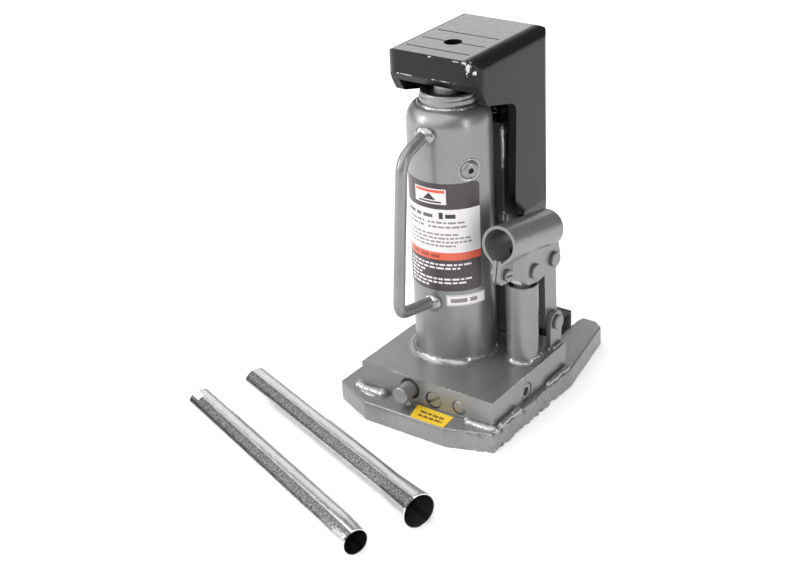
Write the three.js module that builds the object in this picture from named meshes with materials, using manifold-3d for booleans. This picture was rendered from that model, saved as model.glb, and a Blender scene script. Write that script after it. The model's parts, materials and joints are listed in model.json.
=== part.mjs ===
// Hydraulic toe jack: a bottle jack on a flat base, with a lifting frame that hangs from the ram
// and carries a low toe behind the base, and a two-piece pump handle lying in front of it.
// Units are millimetres. +Z is up, the ram stands on the Z axis and the base rests on z = 0.
// -Y is the side of the release valve, +Y the side of the toe and +X the side of the pump.

import * as THREE from 'three';
import { mergeVertices } from 'three/addons/utils/BufferGeometryUtils.js';
import Module from 'manifold-3d';

const wasm = await Module();
wasm.setup();

// ---------------------------------------------------------------- driving dimensions

const closedHeight = 254;
const stroke = 133;
const gap = 0.3; // between pieces that are welded, glued or pressed together
const running = 0.08; // radial clearance of a pin or shaft in its hole
const sliding = 0.5; // between faces that slide past each other

const tank = { r: 28.5, wall: 3, shoulderHeight: 12.5, neckR: 19.8, topDrop: 37.5 };
const gland = { flangeR: 19.2, flangeHeight: 8, skirt: 23 };
const cylinder = { r: 17, bore: 13, pocketDepth: 8 };
const ram = { r: 9.5, headDrop: 6.5 };

const frame = { offset: 0.95, halfWidth: 35.4, wall: 6, back: 8, bend: 9.5, depth: 92, taper: 1.1 };
const head = { frontReach: 22.7, frontHeight: 16.4, frontBar: 8, corner: 10.5, holeY: 6, holeR: 6 };
const toe = { halfWidth: 33, rearTip: 105.5, top: 22, bottom: 4 };

const plate = { thick: 15, rearTip: 110.5, tipHalfWidth: 58, taperStart: 40 };
const block = { height: 19.7, front: 26.5, rear: 12, left: 14 }; // reaches beyond the tank wall
const margin = { front: 17, left: 18, right: 5 }; // base plate beyond the block

const pump = { y: 8, r: 11.1, height: 58, plungerR: 6, sleeveR: 9.2 };
const lever = { tubeR: 12.9, boreR: 10.8, length: 62, rear: 4.2, rise: 19.4, tilt: 10.6, sheet: 2.4 };
const link = { half: 7, halfWidth: 7.5, pinR: 4, lowY: 34.5, lowHeight: 18.3, highY: 33, length: 49 };
const eyePlay = { y: 1.8, z: 1.2 }; // free play of the plunger's eye round its pin

const handle = { r: 10.5, wall: 1.1, length: 203, swageR: 9.3, flareR: 12.3 };

const fine = 48; // sides of the large turned pieces
const medium = 28;
const small = 14;

// ---------------------------------------------------------------- sizes that follow from them

block.top = plate.thick + block.height;
pump.top = block.top + pump.height;
link.lowZ = block.top + link.lowHeight;
link.highZ = link.lowZ + link.length;
const plungerPinZ = pump.top + 10.7;
const shoulderZ = closedHeight - tank.topDrop - tank.shoulderHeight;
const tankTop = closedHeight - tank.topDrop;
const glandTop = tankTop + gap + gland.flangeHeight;
const wallInner = frame.halfWidth - frame.wall;
const socketClearance = 0.6;
const pumpX = frame.offset + frame.halfWidth + socketClearance + lever.tubeR - 0.05;
const blockBox = {
  left: -tank.r - block.left,
  right: pumpX + pump.r + 4.1,
  front: -tank.r - block.front,
  rear: tank.r + block.rear,
};
const backOuter = frame.depth - head.frontReach;
const backInner = backOuter - frame.back;
const guide = { front: backInner - 8, rear: backInner - 3 };
const railFront = tank.r + 3;
const railRear = guide.front - gap;
const ramTop = closedHeight - ram.headDrop;
const lowerHalfWidth = toe.halfWidth - 0.5;
const slotHalf = toe.halfWidth + frame.offset + 4;

// ---------------------------------------------------------------- finishes

const finish = (color, roughness, metalness) => ({ color, roughness, metalness });
const finishes = {
  greyPaint: finish(0x9a9b99, 0.38, 0.55),
  blackPaint: finish(0x17181a, 0.25, 0.1),
  bareSteel: finish(0xb9bbbd, 0.3, 0.95),
  zinc: finish(0xc8ccce, 0.22, 1.0),
  springSteel: finish(0x4b4d50, 0.4, 0.9),
  rubber: finish(0x141414, 0.7, 0.0),
  brass: finish(0xb08d4a, 0.35, 0.9),
  labelPaper: finish(0xece9ec, 0.5, 0.0),
  tagYellow: finish(0xf4c820, 0.5, 0.0),
};

function named(name, geometry, look) {
  geometry.computeVertexNormals();
  const mesh = new THREE.Mesh(geometry, new THREE.MeshStandardMaterial(finishes[look]));
  mesh.name = name;
  return mesh;
}

// ---------------------------------------------------------------- solids

// A closed three.js geometry as a manifold solid, with its faces turned outwards.
function solid(geometry) {
  const bare = geometry.index ? geometry.toNonIndexed() : geometry.clone();
  bare.deleteAttribute('normal');
  bare.deleteAttribute('uv');
  const welded = mergeVertices(bare, 1e-4);
  const points = welded.attributes.position.array;
  const corners = [];
  let volume = 0;
  for (let i = 0; i < welded.index.count; i += 3) {
    const [a, b, c] = [0, 1, 2].map((k) => welded.index.getX(i + k));
    if (a === b || b === c || c === a) {
      continue;
    }
    corners.push(a, b, c);
    const [p, q, r] = [a, b, c].map((v) => new THREE.Vector3().fromArray(points, 3 * v));
    volume += p.dot(q.cross(r));
  }
  if (volume < 0) {
    corners.reverse();
  }
  return new wasm.Manifold(
    new wasm.Mesh({
      numProp: 3,
      vertProperties: new Float32Array(points),
      triVerts: new Uint32Array(corners),
    }),
  );
}

function geometryOf(body) {
  const mesh = body.getMesh();
  const geometry = new THREE.BufferGeometry();
  geometry.setAttribute('position', new THREE.BufferAttribute(mesh.vertProperties, 3));
  geometry.setIndex(new THREE.BufferAttribute(mesh.triVerts, 1));
  return geometry;
}

const join = (first, ...others) => others.reduce((sum, next) => sum.add(next), first);
const cut = (first, ...others) => others.reduce((rest, next) => rest.subtract(next), first);

function box([x0, x1], [y0, y1], [z0, z1]) {
  const geometry = new THREE.BoxGeometry(x1 - x0, y1 - y0, z1 - z0);
  return solid(geometry.translate((x0 + x1) / 2, (y0 + y1) / 2, (z0 + z1) / 2));
}

// A profile of [radius, height] points turned about the Z axis.
function turned(profile, sides = medium) {
  const points = profile.map(([r, z]) => new THREE.Vector2(r, z));
  return solid(new THREE.LatheGeometry(points, sides).rotateX(Math.PI / 2));
}

// A rod from one point to another along an axis, with an optional chamfer at both ends.
function rod(axis, [u, v], radius, [from, to], sides = small, chamfer = 0) {
  const profile = [
    [0, from],
    [radius - chamfer, from],
    [radius, from + chamfer],
    [radius, to - chamfer],
    [radius - chamfer, to],
    [0, to],
  ].filter(([r, z], i, all) => i === 0 || r !== all[i - 1][0] || z !== all[i - 1][1]);
  const body = turned(profile, sides);
  if (axis === 'x') {
    return body.rotate([0, 90, 0]).translate([0, u, v]);
  }
  if (axis === 'y') {
    return body.rotate([-90, 0, 0]).translate([u, 0, v]);
  }
  return body.translate([u, v, 0]);
}

function ring(inner, outer, [from, to], sides = medium) {
  const profile = [[inner, from], [outer, from], [outer, to], [inner, to], [inner, from]];
  return turned(profile, sides);
}

// Outlines are drawn in the plane across the axis: (y, z) for x, (x, z) for y and (x, y) for z.
function slab(axis, shape, [from, to], curveSegments = 10) {
  const options = { depth: to - from, bevelEnabled: false, curveSegments };
  const body = solid(new THREE.ExtrudeGeometry(shape, options));
  if (axis === 'x') {
    return body.rotate([90, 0, 90]).translate([from, 0, 0]);
  }
  if (axis === 'y') {
    return body.rotate([90, 0, 0]).translate([0, to, 0]);
  }
  return body.translate([0, 0, from]);
}

// A closed outline through corner points. A corner with a third value is rounded to that radius.
function outline(corners) {
  const shape = new THREE.Shape();
  const count = corners.length;
  const places = corners.map(([x, y]) => new THREE.Vector2(x, y));
  places.forEach((here, i) => {
    const toBefore = places[(i + count - 1) % count].clone().sub(here);
    const toAfter = places[(i + 1) % count].clone().sub(here);
    const half = toBefore.angleTo(toAfter) / 2;
    const most = 0.49 * Math.min(toBefore.length(), toAfter.length());
    const reach = Math.min((corners[i][2] ?? 0) / Math.tan(half), most);
    const start = here.clone().addScaledVector(toBefore.normalize(), reach);
    const end = here.clone().addScaledVector(toAfter.normalize(), reach);
    if (i === 0) {
      shape.moveTo(start.x, start.y);
    } else {
      shape.lineTo(start.x, start.y);
    }
    if (reach > 0) {
      const middle = toBefore.add(toAfter).normalize();
      const centre = here.clone().addScaledVector(middle, reach / Math.cos(half));
      const [from, to] = [start, end].map((point) => point.clone().sub(centre));
      const clockwise = from.cross(to) < 0;
      shape.absarc(centre.x, centre.y, from.length(), from.angle(), to.angle(), clockwise);
    }
  });
  shape.closePath();
  return shape;
}

// A round bar carried along a path.
function bar(radius, path, steps, sides = 12) {
  const section = new THREE.Shape().absarc(0, 0, radius, 0, 2 * Math.PI);
  const options = { extrudePath: path, steps, curveSegments: sides, bevelEnabled: false };
  return solid(new THREE.ExtrudeGeometry(section, options));
}

// ---------------------------------------------------------------- base

function basePlate() {
  const front = blockBox.front - margin.front;
  const left = blockBox.left - margin.left;
  const right = blockBox.right + margin.right;
  const tip = { chamferX: 7.2, chamferY: 5.8, inner: 1 };
  const corner = { left: 31.5, right: 33.5, frontLeft: 14, frontRight: 10 };
  const slotFront = guide.rear - 2;
  const shape = outline([
    [left + corner.left, front, 3],
    [right - corner.right, front, 3],
    [right, front + corner.frontRight, 3],
    [right, plate.taperStart, 20],
    [plate.tipHalfWidth, plate.rearTip - tip.chamferY, 2],
    [plate.tipHalfWidth - tip.chamferX, plate.rearTip, 2],
    [slotHalf + tip.inner, plate.rearTip, 1],
    [slotHalf, plate.rearTip - tip.chamferY, 2],
    [slotHalf, slotFront, 4],
    [-slotHalf, slotFront, 4],
    [-slotHalf, plate.rearTip - tip.chamferY, 2],
    [-slotHalf - tip.inner, plate.rearTip, 1],
    [tip.chamferX - plate.tipHalfWidth, plate.rearTip, 2],
    [-plate.tipHalfWidth, plate.rearTip - tip.chamferY, 2],
    [left, plate.taperStart, 20],
    [left, front + corner.frontLeft, 3],
  ]);
  return slab('z', shape, [0, plate.thick], 3);
}

// Places on the block's front and right faces, and the passages that join them.
const valve = { x: -2, z: plate.thick + 10.4, boreR: 7, depth: 22, r: 6.1, reach: 12.5 };
const safety = { x: 17.3, z: plate.thick + 7, boreR: 6.4, depth: 24 };
const gallery = { x: 38, z: plate.thick + 7.5, plugR: 5.2, plugDepth: 7, passageR: 2.5 };
const outlet = { y: -12.7, z: plate.thick + 7, boreR: 6.8, plugDepth: 14, chamberR: 4.6, chamberDepth: 26 };
const annulusR = (cylinder.r + tank.r - tank.wall) / 2;
const ballR = 3;

function pumpBlock() {
  const { left, right, front, rear } = blockBox;
  const bottom = plate.thick + gap;
  const pocketBottom = block.top - cylinder.pocketDepth;
  const over = 1;
  const seatX = right - outlet.chamberDepth;
  const deep = block.top + over;
  return cut(
    box([left, right], [front, rear], [bottom, block.top]),
    rod('y', [valve.x, valve.z], valve.boreR, [front - over, front + valve.depth], medium),
    rod('y', [valve.x, valve.z], gallery.passageR, [front, -annulusR + 2], small),
    rod('z', [valve.x, -annulusR], 2, [valve.z, deep], small),
    rod('y', [safety.x, safety.z], safety.boreR, [front - over, front + safety.depth], medium),
    rod('y', [safety.x, safety.z], 2, [front, -annulusR + 2], small),
    rod('z', [safety.x, -annulusR + 1], 2, [safety.z, deep], small),
    rod('y', [gallery.x, gallery.z], gallery.plugR, [front - over, front + gallery.plugDepth], medium),
    rod('y', [gallery.x, gallery.z], gallery.passageR, [front, pump.y], small),
    rod('x', [pump.y, gallery.z], 2, [gallery.x - 1, pumpX], small),
    rod('x', [outlet.y, outlet.z], outlet.boreR, [right - outlet.plugDepth, right + over], medium),
    rod('x', [outlet.y, outlet.z], outlet.chamberR, [seatX, right], medium),
    rod('x', [outlet.y, outlet.z], 2, [gallery.x, right], small),
    rod('z', [seatX + 5, outlet.y], 2, [outlet.z, pocketBottom + 2], small),
    rod('x', [outlet.y, pocketBottom + 1], 2, [0, seatX + 5], small),
    rod('z', [pumpX, pump.y], pump.plungerR + 0.4, [plate.thick + 4, deep], medium),
    rod('z', [0, 0], cylinder.r + running, [pocketBottom, deep], fine),
    rod('z', [annulusR, pump.y - 4], 2, [pocketBottom, deep], small),
    rod('x', [pump.y - 4, pocketBottom], 2, [annulusR - 2, pumpX], small),
  );
}

// ---------------------------------------------------------------- tank, cylinder and ram

const quarter = (steps) => Array.from({ length: steps + 1 }, (_, i) => (i / steps) * (Math.PI / 2));
const filler = { angle: -30, z: 177.3, holeR: 3.5, flangeR: 6.7 };

// Turns a piece drawn along +X, with x measured from the tank's axis, to the filler's place.
const atFiller = (body) => body.rotate([0, 0, filler.angle]).translate([0, 0, filler.z]);

function reservoirTank() {
  const inner = tank.r - tank.wall;
  const bottom = block.top + gap;
  const mouth = cylinder.r + 0.6;
  const crown = tank.shoulderHeight - tank.wall;
  const outside = quarter(10).map((t) => [
    tank.neckR + (tank.r - tank.neckR) * Math.cos(t),
    shoulderZ + tank.shoulderHeight * Math.sin(t),
  ]);
  const inside = quarter(6).map((t) => [
    mouth + (inner - mouth) * Math.cos(t),
    shoulderZ + crown * Math.sin(t),
  ]);
  const profile = [[inner, bottom], [tank.r, bottom], ...outside, [mouth, tankTop]];
  const shell = turned([...profile, ...inside.reverse(), [inner, bottom]], fine);
  const hole = rod('x', [0, 0], filler.holeR, [inner - 3, tank.r + 3], small);
  return cut(shell, atFiller(hole));
}

function fillerPlug() {
  const flange = [tank.r + 0.6, tank.r + 2.6];
  const stem = rod('x', [0, 0], filler.holeR - running, [tank.r - tank.wall - 2, flange[1]], small);
  const cap = rod('x', [0, 0], filler.flangeR, flange, medium, 0.7);
  const vent = rod('x', [0, 0], 1.7, [tank.r - 1, flange[1] + 1], small);
  return atFiller(cut(join(stem, cap), vent));
}

function topNut() {
  const bore = ram.r + running;
  const seat = tankTop + gap;
  const skirtR = cylinder.bore - 0.3;
  const mid = cylinder.r + 0.3;
  const sealR = 13;
  const sealZ = glandTop - 5.5;
  const cylinderTop = tankTop - 4;
  return turned([
    [bore, tankTop - gland.skirt],
    [skirtR, tankTop - gland.skirt],
    [skirtR, cylinderTop + gap],
    [mid, cylinderTop + gap],
    [mid, seat],
    [gland.flangeR - 0.6, seat],
    [gland.flangeR, seat + 0.6],
    [gland.flangeR, glandTop - 1],
    [gland.flangeR - 1, glandTop],
    [sealR, glandTop],
    [sealR, sealZ],
    [bore, sealZ],
    [bore, tankTop - gland.skirt],
  ], fine);
}

function pressureCylinder() {
  const bottom = block.top - cylinder.pocketDepth + gap;
  return ring(cylinder.bore, cylinder.r, [bottom, tankTop - 4], fine);
}

const spigotR = 6;
const pistonZ = { nut: block.top - 5.7 };
pistonZ.cup = pistonZ.nut + 4;
pistonZ.piston = pistonZ.cup + 3.5;
pistonZ.shoulder = pistonZ.piston + 10;

function ramShaft() {
  return turned([
    [0, pistonZ.nut],
    [spigotR - 0.6, pistonZ.nut],
    [spigotR, pistonZ.nut + 0.6],
    [spigotR, pistonZ.shoulder + gap],
    [ram.r, pistonZ.shoulder + gap],
    [ram.r, ramTop - 1],
    [ram.r - 1, ramTop],
    [0, ramTop],
  ], medium);
}

function pistonNut() {
  const shape = new THREE.Shape();
  for (let i = 0; i < 6; i += 1) {
    const angle = (i * Math.PI) / 3;
    const corner = [9.6 * Math.cos(angle), 9.6 * Math.sin(angle)];
    if (i === 0) {
      shape.moveTo(...corner);
    } else {
      shape.lineTo(...corner);
    }
  }
  const [from, to] = [pistonZ.nut + 0.2, pistonZ.cup - gap];
  const hole = rod('z', [0, 0], spigotR + running, [from - 1, to + 1], medium);
  return cut(slab('z', shape, [from, to]), hole);
}

// ---------------------------------------------------------------- guide and return springs

const railTop = shoulderZ - 11;
const railWall = 3;
const spring = { x: 9, outerR: 4.6, innerR: 3 };
spring.y = railFront + railWall + spring.outerR + 0.25;
const hookHoleR = 2.2;

function guideRail() {
  const half = 20.5;
  const hollow = half - railWall;
  return cut(
    box([-half, half], [railFront, railRear], [block.top + gap, railTop]),
    box([-hollow, hollow], [railFront + railWall, railRear + 1], [block.top, railTop + 1]),
  );
}

function guidePlate() {
  const half = wallInner - 4.6;
  return box([-half, half], [guide.front, guide.rear], [plate.thick + gap, railTop]);
}

// An L-shaped strip inside the frame's back, hooked round one edge of the guide plate.
function guideKeeper(side) {
  const outer = wallInner - gap;
  const web = outer - 3.8;
  const lip = 21.5;
  const front = guide.front - 4;
  const shape = outline([
    [side * outer, front],
    [side * outer, backInner - gap],
    [side * web, backInner - gap],
    [side * web, guide.front - 0.4],
    [side * lip, guide.front - 0.4],
    [side * lip, front],
  ]);
  return slab('z', shape, [plate.thick + 1.5, shoulderZ - 39]);
}

function springHanger([from, to], holeZ) {
  const plateSlab = box([-16.5, 16.5], [spring.y - 1.1, spring.y + 1.1], [from, to]);
  const holes = [-1, 1].map((side) => {
    return rod('y', [side * spring.x, holeZ], hookHoleR, [spring.y - 3, spring.y + 3], small);
  });
  return cut(plateSlab, ...holes);
}

const springFoot = { top: block.top + 12.3, holeZ: block.top + 8.3 };
const springTop = { bottom: closedHeight - 24, holeZ: closedHeight - 20 };

function returnSpring(side) {
  const span = [springFoot.top + gap, springTop.bottom - gap];
  return ring(spring.innerR, spring.outerR, span, 16).translate([side * spring.x, spring.y, 0]);
}

// ---------------------------------------------------------------- lifting frame

function liftFrame() {
  const { halfWidth, bend, taper } = frame;
  const front = -head.frontReach;
  const faceBottom = closedHeight - head.frontHeight;
  const cheek = closedHeight - 32.5;
  const throat = shoulderZ + 8.5;
  const wallFront = tank.r - 4;
  const neck = { top: 130, bottom: 120 };
  const side = outline([
    [front, closedHeight],
    [front, faceBottom],
    [front + 4.2, faceBottom - 0.6, 3],
    [front + 13.2, cheek, 5],
    [wallFront + 0.6, throat, 9],
    [wallFront - 0.6, shoulderZ - 62, 14],
    [wallFront + 7.5, shoulderZ - 73, 14],
    [backInner, neck.bottom - 14, 12],
    [backInner, 3],
    [backOuter, 3, 2],
    [backOuter, closedHeight, bend],
  ]);
  const face = outline([
    [-halfWidth, closedHeight, bend],
    [-halfWidth, throat],
    [taper - halfWidth, neck.top, 4],
    [-lowerHalfWidth, neck.bottom, 4],
    [-lowerHalfWidth, 3],
    [lowerHalfWidth, 3],
    [lowerHalfWidth, neck.bottom, 4],
    [halfWidth - taper, neck.top, 4],
    [halfWidth, throat],
    [halfWidth, closedHeight, bend],
  ]);
  const plan = outline([
    [-halfWidth, front, head.corner],
    [halfWidth, front, head.corner],
    [halfWidth, backOuter, bend],
    [-halfWidth, backOuter, bend],
  ]);
  const shell = slab('x', side, [-halfWidth - 1, halfWidth + 1])
    .intersect(slab('y', face, [front - 1, backOuter + 1]))
    .intersect(slab('z', plan, [0, closedHeight + 1]));
  const inside = box(
    [-wallInner, wallInner],
    [front + head.frontBar, backInner],
    [-1, closedHeight - frame.wall],
  );
  const grooves = [-11.7, head.holeY, 23.6].map((y) => {
    return box([-24, 24], [y - 0.6, y + 0.6], [closedHeight - 0.6, closedHeight + 1]);
  });
  const hole = rod('z', [0, head.holeY], head.holeR, [closedHeight - 14, closedHeight + 1], medium);
  return cut(shell, inside, hole, ...grooves);
}

function liftToe() {
  const root = backOuter + gap;
  const end = toe.rearTip;
  const profile = outline([
    [root, toe.bottom - 1, 2],
    [end - 16, toe.bottom - 1, 4],
    [end, toe.top - 13, 4],
    [end, toe.top, 1.5],
    [root, toe.top],
  ]);
  const plan = outline([
    [-toe.halfWidth, root - 1],
    [toe.halfWidth, root - 1],
    [toe.halfWidth, end, 4],
    [-toe.halfWidth, end, 4],
  ]);
  const across = [-toe.halfWidth, toe.halfWidth];
  return slab('x', profile, across).intersect(slab('z', plan, [0, toe.top + 9]));
}

// ---------------------------------------------------------------- pump

const eye = { halfWidth: 7.5, halfThick: 4, bottom: pump.top + 1.6 };
const leverPinR = 3.6;

function pumpCylinder() {
  const bore = pump.plungerR + running;
  const lip = pump.top - 7;
  return turned([
    [bore + 0.3, block.top + gap],
    [pump.r, block.top + gap],
    [pump.r, pump.top - 0.8],
    [pump.r - 0.8, pump.top],
    [pump.sleeveR, pump.top],
    [pump.sleeveR, lip],
    [bore + 0.3, lip],
    [bore + 0.3, block.top + gap],
  ]).translate([pumpX, pump.y, 0]);
}

function pumpGland() {
  const inner = pump.plungerR + running;
  const span = [pump.top - 6.7, pump.top - 1.2];
  return ring(inner, pump.sleeveR - 0.2, span).translate([pumpX, pump.y, 0]);
}

const cupHeight = 4;
const spigot = 3.5;

function plunger() {
  const bottom = plate.thick + 6.5;
  const shaft = turned([
    [0, bottom],
    [spigot, bottom],
    [spigot, bottom + cupHeight + 0.8],
    [pump.plungerR, bottom + cupHeight + 0.8],
    [pump.plungerR, eye.bottom + 1],
    [0, eye.bottom + 1],
  ], 28).translate([pumpX, pump.y, 0]);
  const tongue = new THREE.Shape();
  tongue.moveTo(pump.y - eye.halfWidth, eye.bottom);
  tongue.lineTo(pump.y + eye.halfWidth, eye.bottom);
  tongue.absarc(pump.y, plungerPinZ, eye.halfWidth, 0, Math.PI, false);
  tongue.closePath();
  const hole = new THREE.Shape();
  const [a, b] = [leverPinR + eyePlay.y, leverPinR + eyePlay.z];
  hole.absellipse(pump.y, plungerPinZ, a, b, 0, 2 * Math.PI, false);
  const across = [pumpX - eye.halfThick, pumpX + eye.halfThick];
  const eyeHole = slab('x', hole, [across[0] - 1, across[1] + 1], 12);
  return join(shaft, cut(slab('x', tongue, across), eyeHole));
}

function plungerCup() {
  const bottom = plate.thick + 7;
  const cup = ring(spigot + 0.15, pump.plungerR + 0.25, [bottom, bottom + cupHeight]);
  return cup.translate([pumpX, pump.y, 0]);
}

// A flat bar with round ends about two points of the (y, z) plane.
function flatLink([y0, z0], [y1, z1], halfWidth, across, holeR) {
  const lean = Math.atan2(y0 - y1, z1 - z0);
  const shape = new THREE.Shape();
  shape.absarc(y1, z1, halfWidth, lean, lean + Math.PI, false);
  shape.absarc(y0, z0, halfWidth, lean + Math.PI, lean + 2 * Math.PI, false);
  shape.closePath();
  const reach = [across[0] - 1, across[1] + 1];
  const holes = [[y0, z0], [y1, z1]].map((centre) => rod('x', centre, holeR, reach, medium));
  return cut(slab('x', shape, across, 12), ...holes);
}

const ear = { thick: 4, r: 8, front: 26.5, rear: 40.3, gap: 0.4 };

function bracketEar(side) {
  const inner = link.half + ear.gap;
  const across = [pumpX + side * inner, pumpX + side * (inner + ear.thick)].sort((a, b) => a - b);
  const shape = new THREE.Shape();
  shape.moveTo(ear.front, block.top + gap);
  shape.lineTo(Math.min(ear.rear, blockBox.rear), block.top + gap);
  shape.lineTo(link.lowY + ear.r, link.lowZ - 2);
  shape.absarc(link.lowY, link.lowZ, ear.r, 0, Math.PI, false);
  shape.closePath();
  const reach = [across[0] - 1, across[1] + 1];
  const hole = rod('x', [link.lowY, link.lowZ], link.pinR + running, reach, medium);
  return cut(slab('x', shape, across), hole);
}

// A headed pin along X. Its shank ends in a groove for a retaining clip.
const clip = { thick: 1.2, depth: 0.8, outer: 2.6 };

function headedPin([y, z], radius, outer) {
  const right = pumpX + outer + 0.25;
  const left = pumpX - outer - 0.25;
  const headLength = 2.4;
  const groove = [left - clip.thick - 0.1, left];
  const shank = rod('x', [y, z], radius, [left - clip.thick - 1, right + 1], medium, 0.3);
  const headDisc = rod('x', [y, z], 5.4, [right, right + headLength], medium, 0.5);
  const grooveRing = ring(radius - clip.depth, radius + 1, groove, medium);
  return cut(join(shank, headDisc), grooveRing.rotate([0, 90, 0]).translate([0, y, z]));
}

function pinClip([y, z], radius, outer) {
  const left = pumpX - outer - 0.25;
  const body = cut(
    ring(radius - clip.depth + 0.1, radius + clip.outer, [left - clip.thick, left - 0.1], small),
    box([-1.6, 1.6], [0, radius + clip.outer + 1], [left - 3, left + 1]),
  );
  return body.rotate([0, 90, 0]).translate([0, y, z]);
}

// The lever socket, drawn with its upper link pin at the origin and its tube along Y.
const leverInner = link.half + ear.gap;
const leverOuter = leverInner + lever.sheet;
const pinch = { gap: 0.4, rear: -38, boltY: -49, boltZ: -2.2 };

function socketEars() {
  const front = lever.rear - lever.length;
  const flat = pinch.gap + lever.sheet;
  const rearEnd = 8.2;
  const roof = lever.rise - Math.sqrt(lever.tubeR ** 2 - leverOuter ** 2) + 0.8;
  const side = outline([
    [front, roof],
    [front, -8.4, 4],
    [-38, -7.8, 10],
    [-31, -12, 8],
    [-19, -12, 8],
    [-8, -9.2, 8],
    [4, -9.2, 7],
    [rearEnd, -3, 5],
    [rearEnd, 4, 4],
    [lever.rear, roof],
  ]);
  const plan = (s) => outline([
    [s * pinch.gap, front - 1],
    [s * flat, front - 1],
    [s * flat, pinch.rear - 3, 3],
    [s * leverOuter, pinch.rear + 4, 3],
    [s * leverOuter, rearEnd + 1],
    [s * leverInner, rearEnd + 1],
    [s * leverInner, pinch.rear + 5, 3],
    [s * pinch.gap, pinch.rear - 2, 3],
  ]);
  const sideways = slab('x', side, [-leverOuter - 1, leverOuter + 1]);
  return [-1, 1].map((s) => slab('z', plan(s), [-14, roof + 1]).intersect(sideways));
}

function socketTube() {
  const front = lever.rear - lever.length;
  const span = [front, lever.rear];
  const shoulder = Math.PI / 4;
  const throat = lever.rise - lever.tubeR - 1.4;
  const shape = new THREE.Shape();
  shape.absarc(0, lever.rise, lever.tubeR, -shoulder, Math.PI + shoulder, false);
  shape.lineTo(-pinch.gap - lever.sheet, throat);
  shape.lineTo(pinch.gap + lever.sheet, throat);
  shape.closePath();
  const drop = new THREE.Shape();
  drop.absarc(0, lever.rise, lever.boreR, -shoulder, Math.PI + shoulder, false);
  drop.lineTo(-pinch.gap, throat - 0.1);
  drop.lineTo(-pinch.gap, throat - 4);
  drop.lineTo(pinch.gap, throat - 4);
  drop.lineTo(pinch.gap, throat - 0.1);
  drop.closePath();
  const behindPinch = box(
    [-leverInner, leverInner],
    [pinch.rear, lever.rear + 1],
    [throat - 3, lever.rise - lever.boreR + 2],
  );
  const bore = slab('y', drop, [front - 1, lever.rear + 1], 20);
  return { wall: slab('y', shape, span, 24), hollow: [bore, behindPinch] };
}

function handleSocket() {
  const tube = socketTube();
  const ears = socketEars();
  const holes = [
    rod('x', [0, 0], link.pinR + running, [-20, 20], medium),
    rod('x', plungerPinPlace(), leverPinR + running, [-20, 20], medium),
    rod('x', [pinch.boltY, pinch.boltZ], 2.5 + running, [-20, 20]),
  ];
  const open = slab('y', new THREE.Shape().absarc(0, lever.rise, lever.boreR, 0, 2 * Math.PI), [
    lever.rear - lever.length - 1,
    lever.rear + 1,
  ], 40);
  const walls = cut(tube.wall, ...tube.hollow);
  return cut(join(walls, ...ears), open, ...holes);
}

// The plunger pin's place in the socket's own frame.
function plungerPinPlace() {
  const angle = THREE.MathUtils.degToRad(lever.tilt);
  const [dy, dz] = [pump.y - link.highY, plungerPinZ - link.highZ];
  return [dy * Math.cos(angle) - dz * Math.sin(angle), dy * Math.sin(angle) + dz * Math.cos(angle)];
}

function clampScrew() {
  const outer = pinch.gap + lever.sheet + 0.25;
  const place = [pinch.boltY, pinch.boltZ];
  const shank = rod('x', place, 2.5, [-outer - 4.6, outer + 1]);
  const screwHead = rod('x', place, 4.2, [outer, outer + 2.6], medium, 0.6);
  const slot = box([outer + 1.4, outer + 3], [-5, 5], [-0.6, 0.6]).translate([0, ...place]);
  return cut(join(shank, screwHead), slot);
}

function clampNut() {
  const outer = pinch.gap + lever.sheet + 0.25;
  const shape = new THREE.Shape().absarc(pinch.boltY, pinch.boltZ, 4.6, 0, 2 * Math.PI);
  const body = slab('x', shape, [-outer - 4, -outer], 3);
  return cut(body, rod('x', [pinch.boltY, pinch.boltZ], 2.5 + running, [-outer - 5, 0]));
}

// ---------------------------------------------------------------- valves

function releaseValve() {
  const front = blockBox.front - valve.reach;
  const place = [valve.x, valve.z];
  const rear = blockBox.front + valve.depth - ballR - 2.5;
  const screw = rod('y', place, valve.r, [front, rear - 4], medium, 0.7);
  const tip = rod('y', place, 3.2, [rear - 5, rear], small, 0.5);
  const lugHole = rod('x', [front + 4.2, valve.z], 1.9 + running, [-20, 20], small);
  return cut(join(screw, tip), turnedAboutValve(lugHole));
}

// Turns a piece about the release valve's axis to the lug's resting angle.
function turnedAboutValve(body) {
  return body.translate([-valve.x, 0, -valve.z]).rotate([0, 55, 0]).translate([valve.x, 0, valve.z]);
}

function releaseLug() {
  const y = blockBox.front - valve.reach + 4.2;
  return turnedAboutValve(rod('x', [y, valve.z], 1.9, [valve.x - 5, valve.x + 9.2], small, 0.4));
}

function releaseSeal() {
  const y = blockBox.front + 4;
  const seal = ring(valve.r + 0.1, valve.boreR - 0.1, [-1, 1]).rotate([90, 0, 0]);
  return seal.translate([valve.x, y, valve.z]);
}

function ball(x, y, z, radius = ballR) {
  return solid(new THREE.SphereGeometry(radius, 16, 10)).translate([x, y, z]);
}

function coil(radius, wire, turns, length) {
  const count = turns * 10;
  const points = Array.from({ length: count + 1 }, (_, i) => {
    const angle = (i / 10) * 2 * Math.PI;
    return new THREE.Vector3(
      radius * Math.cos(angle),
      radius * Math.sin(angle),
      wire + (i / count) * (length - 2 * wire),
    );
  });
  return bar(wire, new THREE.CatmullRomCurve3(points), count, 3);
}

function safetyScrew() {
  const front = blockBox.front + 0.8;
  const body = rod('y', [safety.x, safety.z], safety.boreR - 0.25, [front, front + 9], medium, 0.6);
  const slot = box([-7, 7], [front - 1, front + 1.8], [-0.9, 0.9]).rotate([0, -35, 0]);
  return cut(body, slot.translate([safety.x, 0, safety.z]));
}

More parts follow.
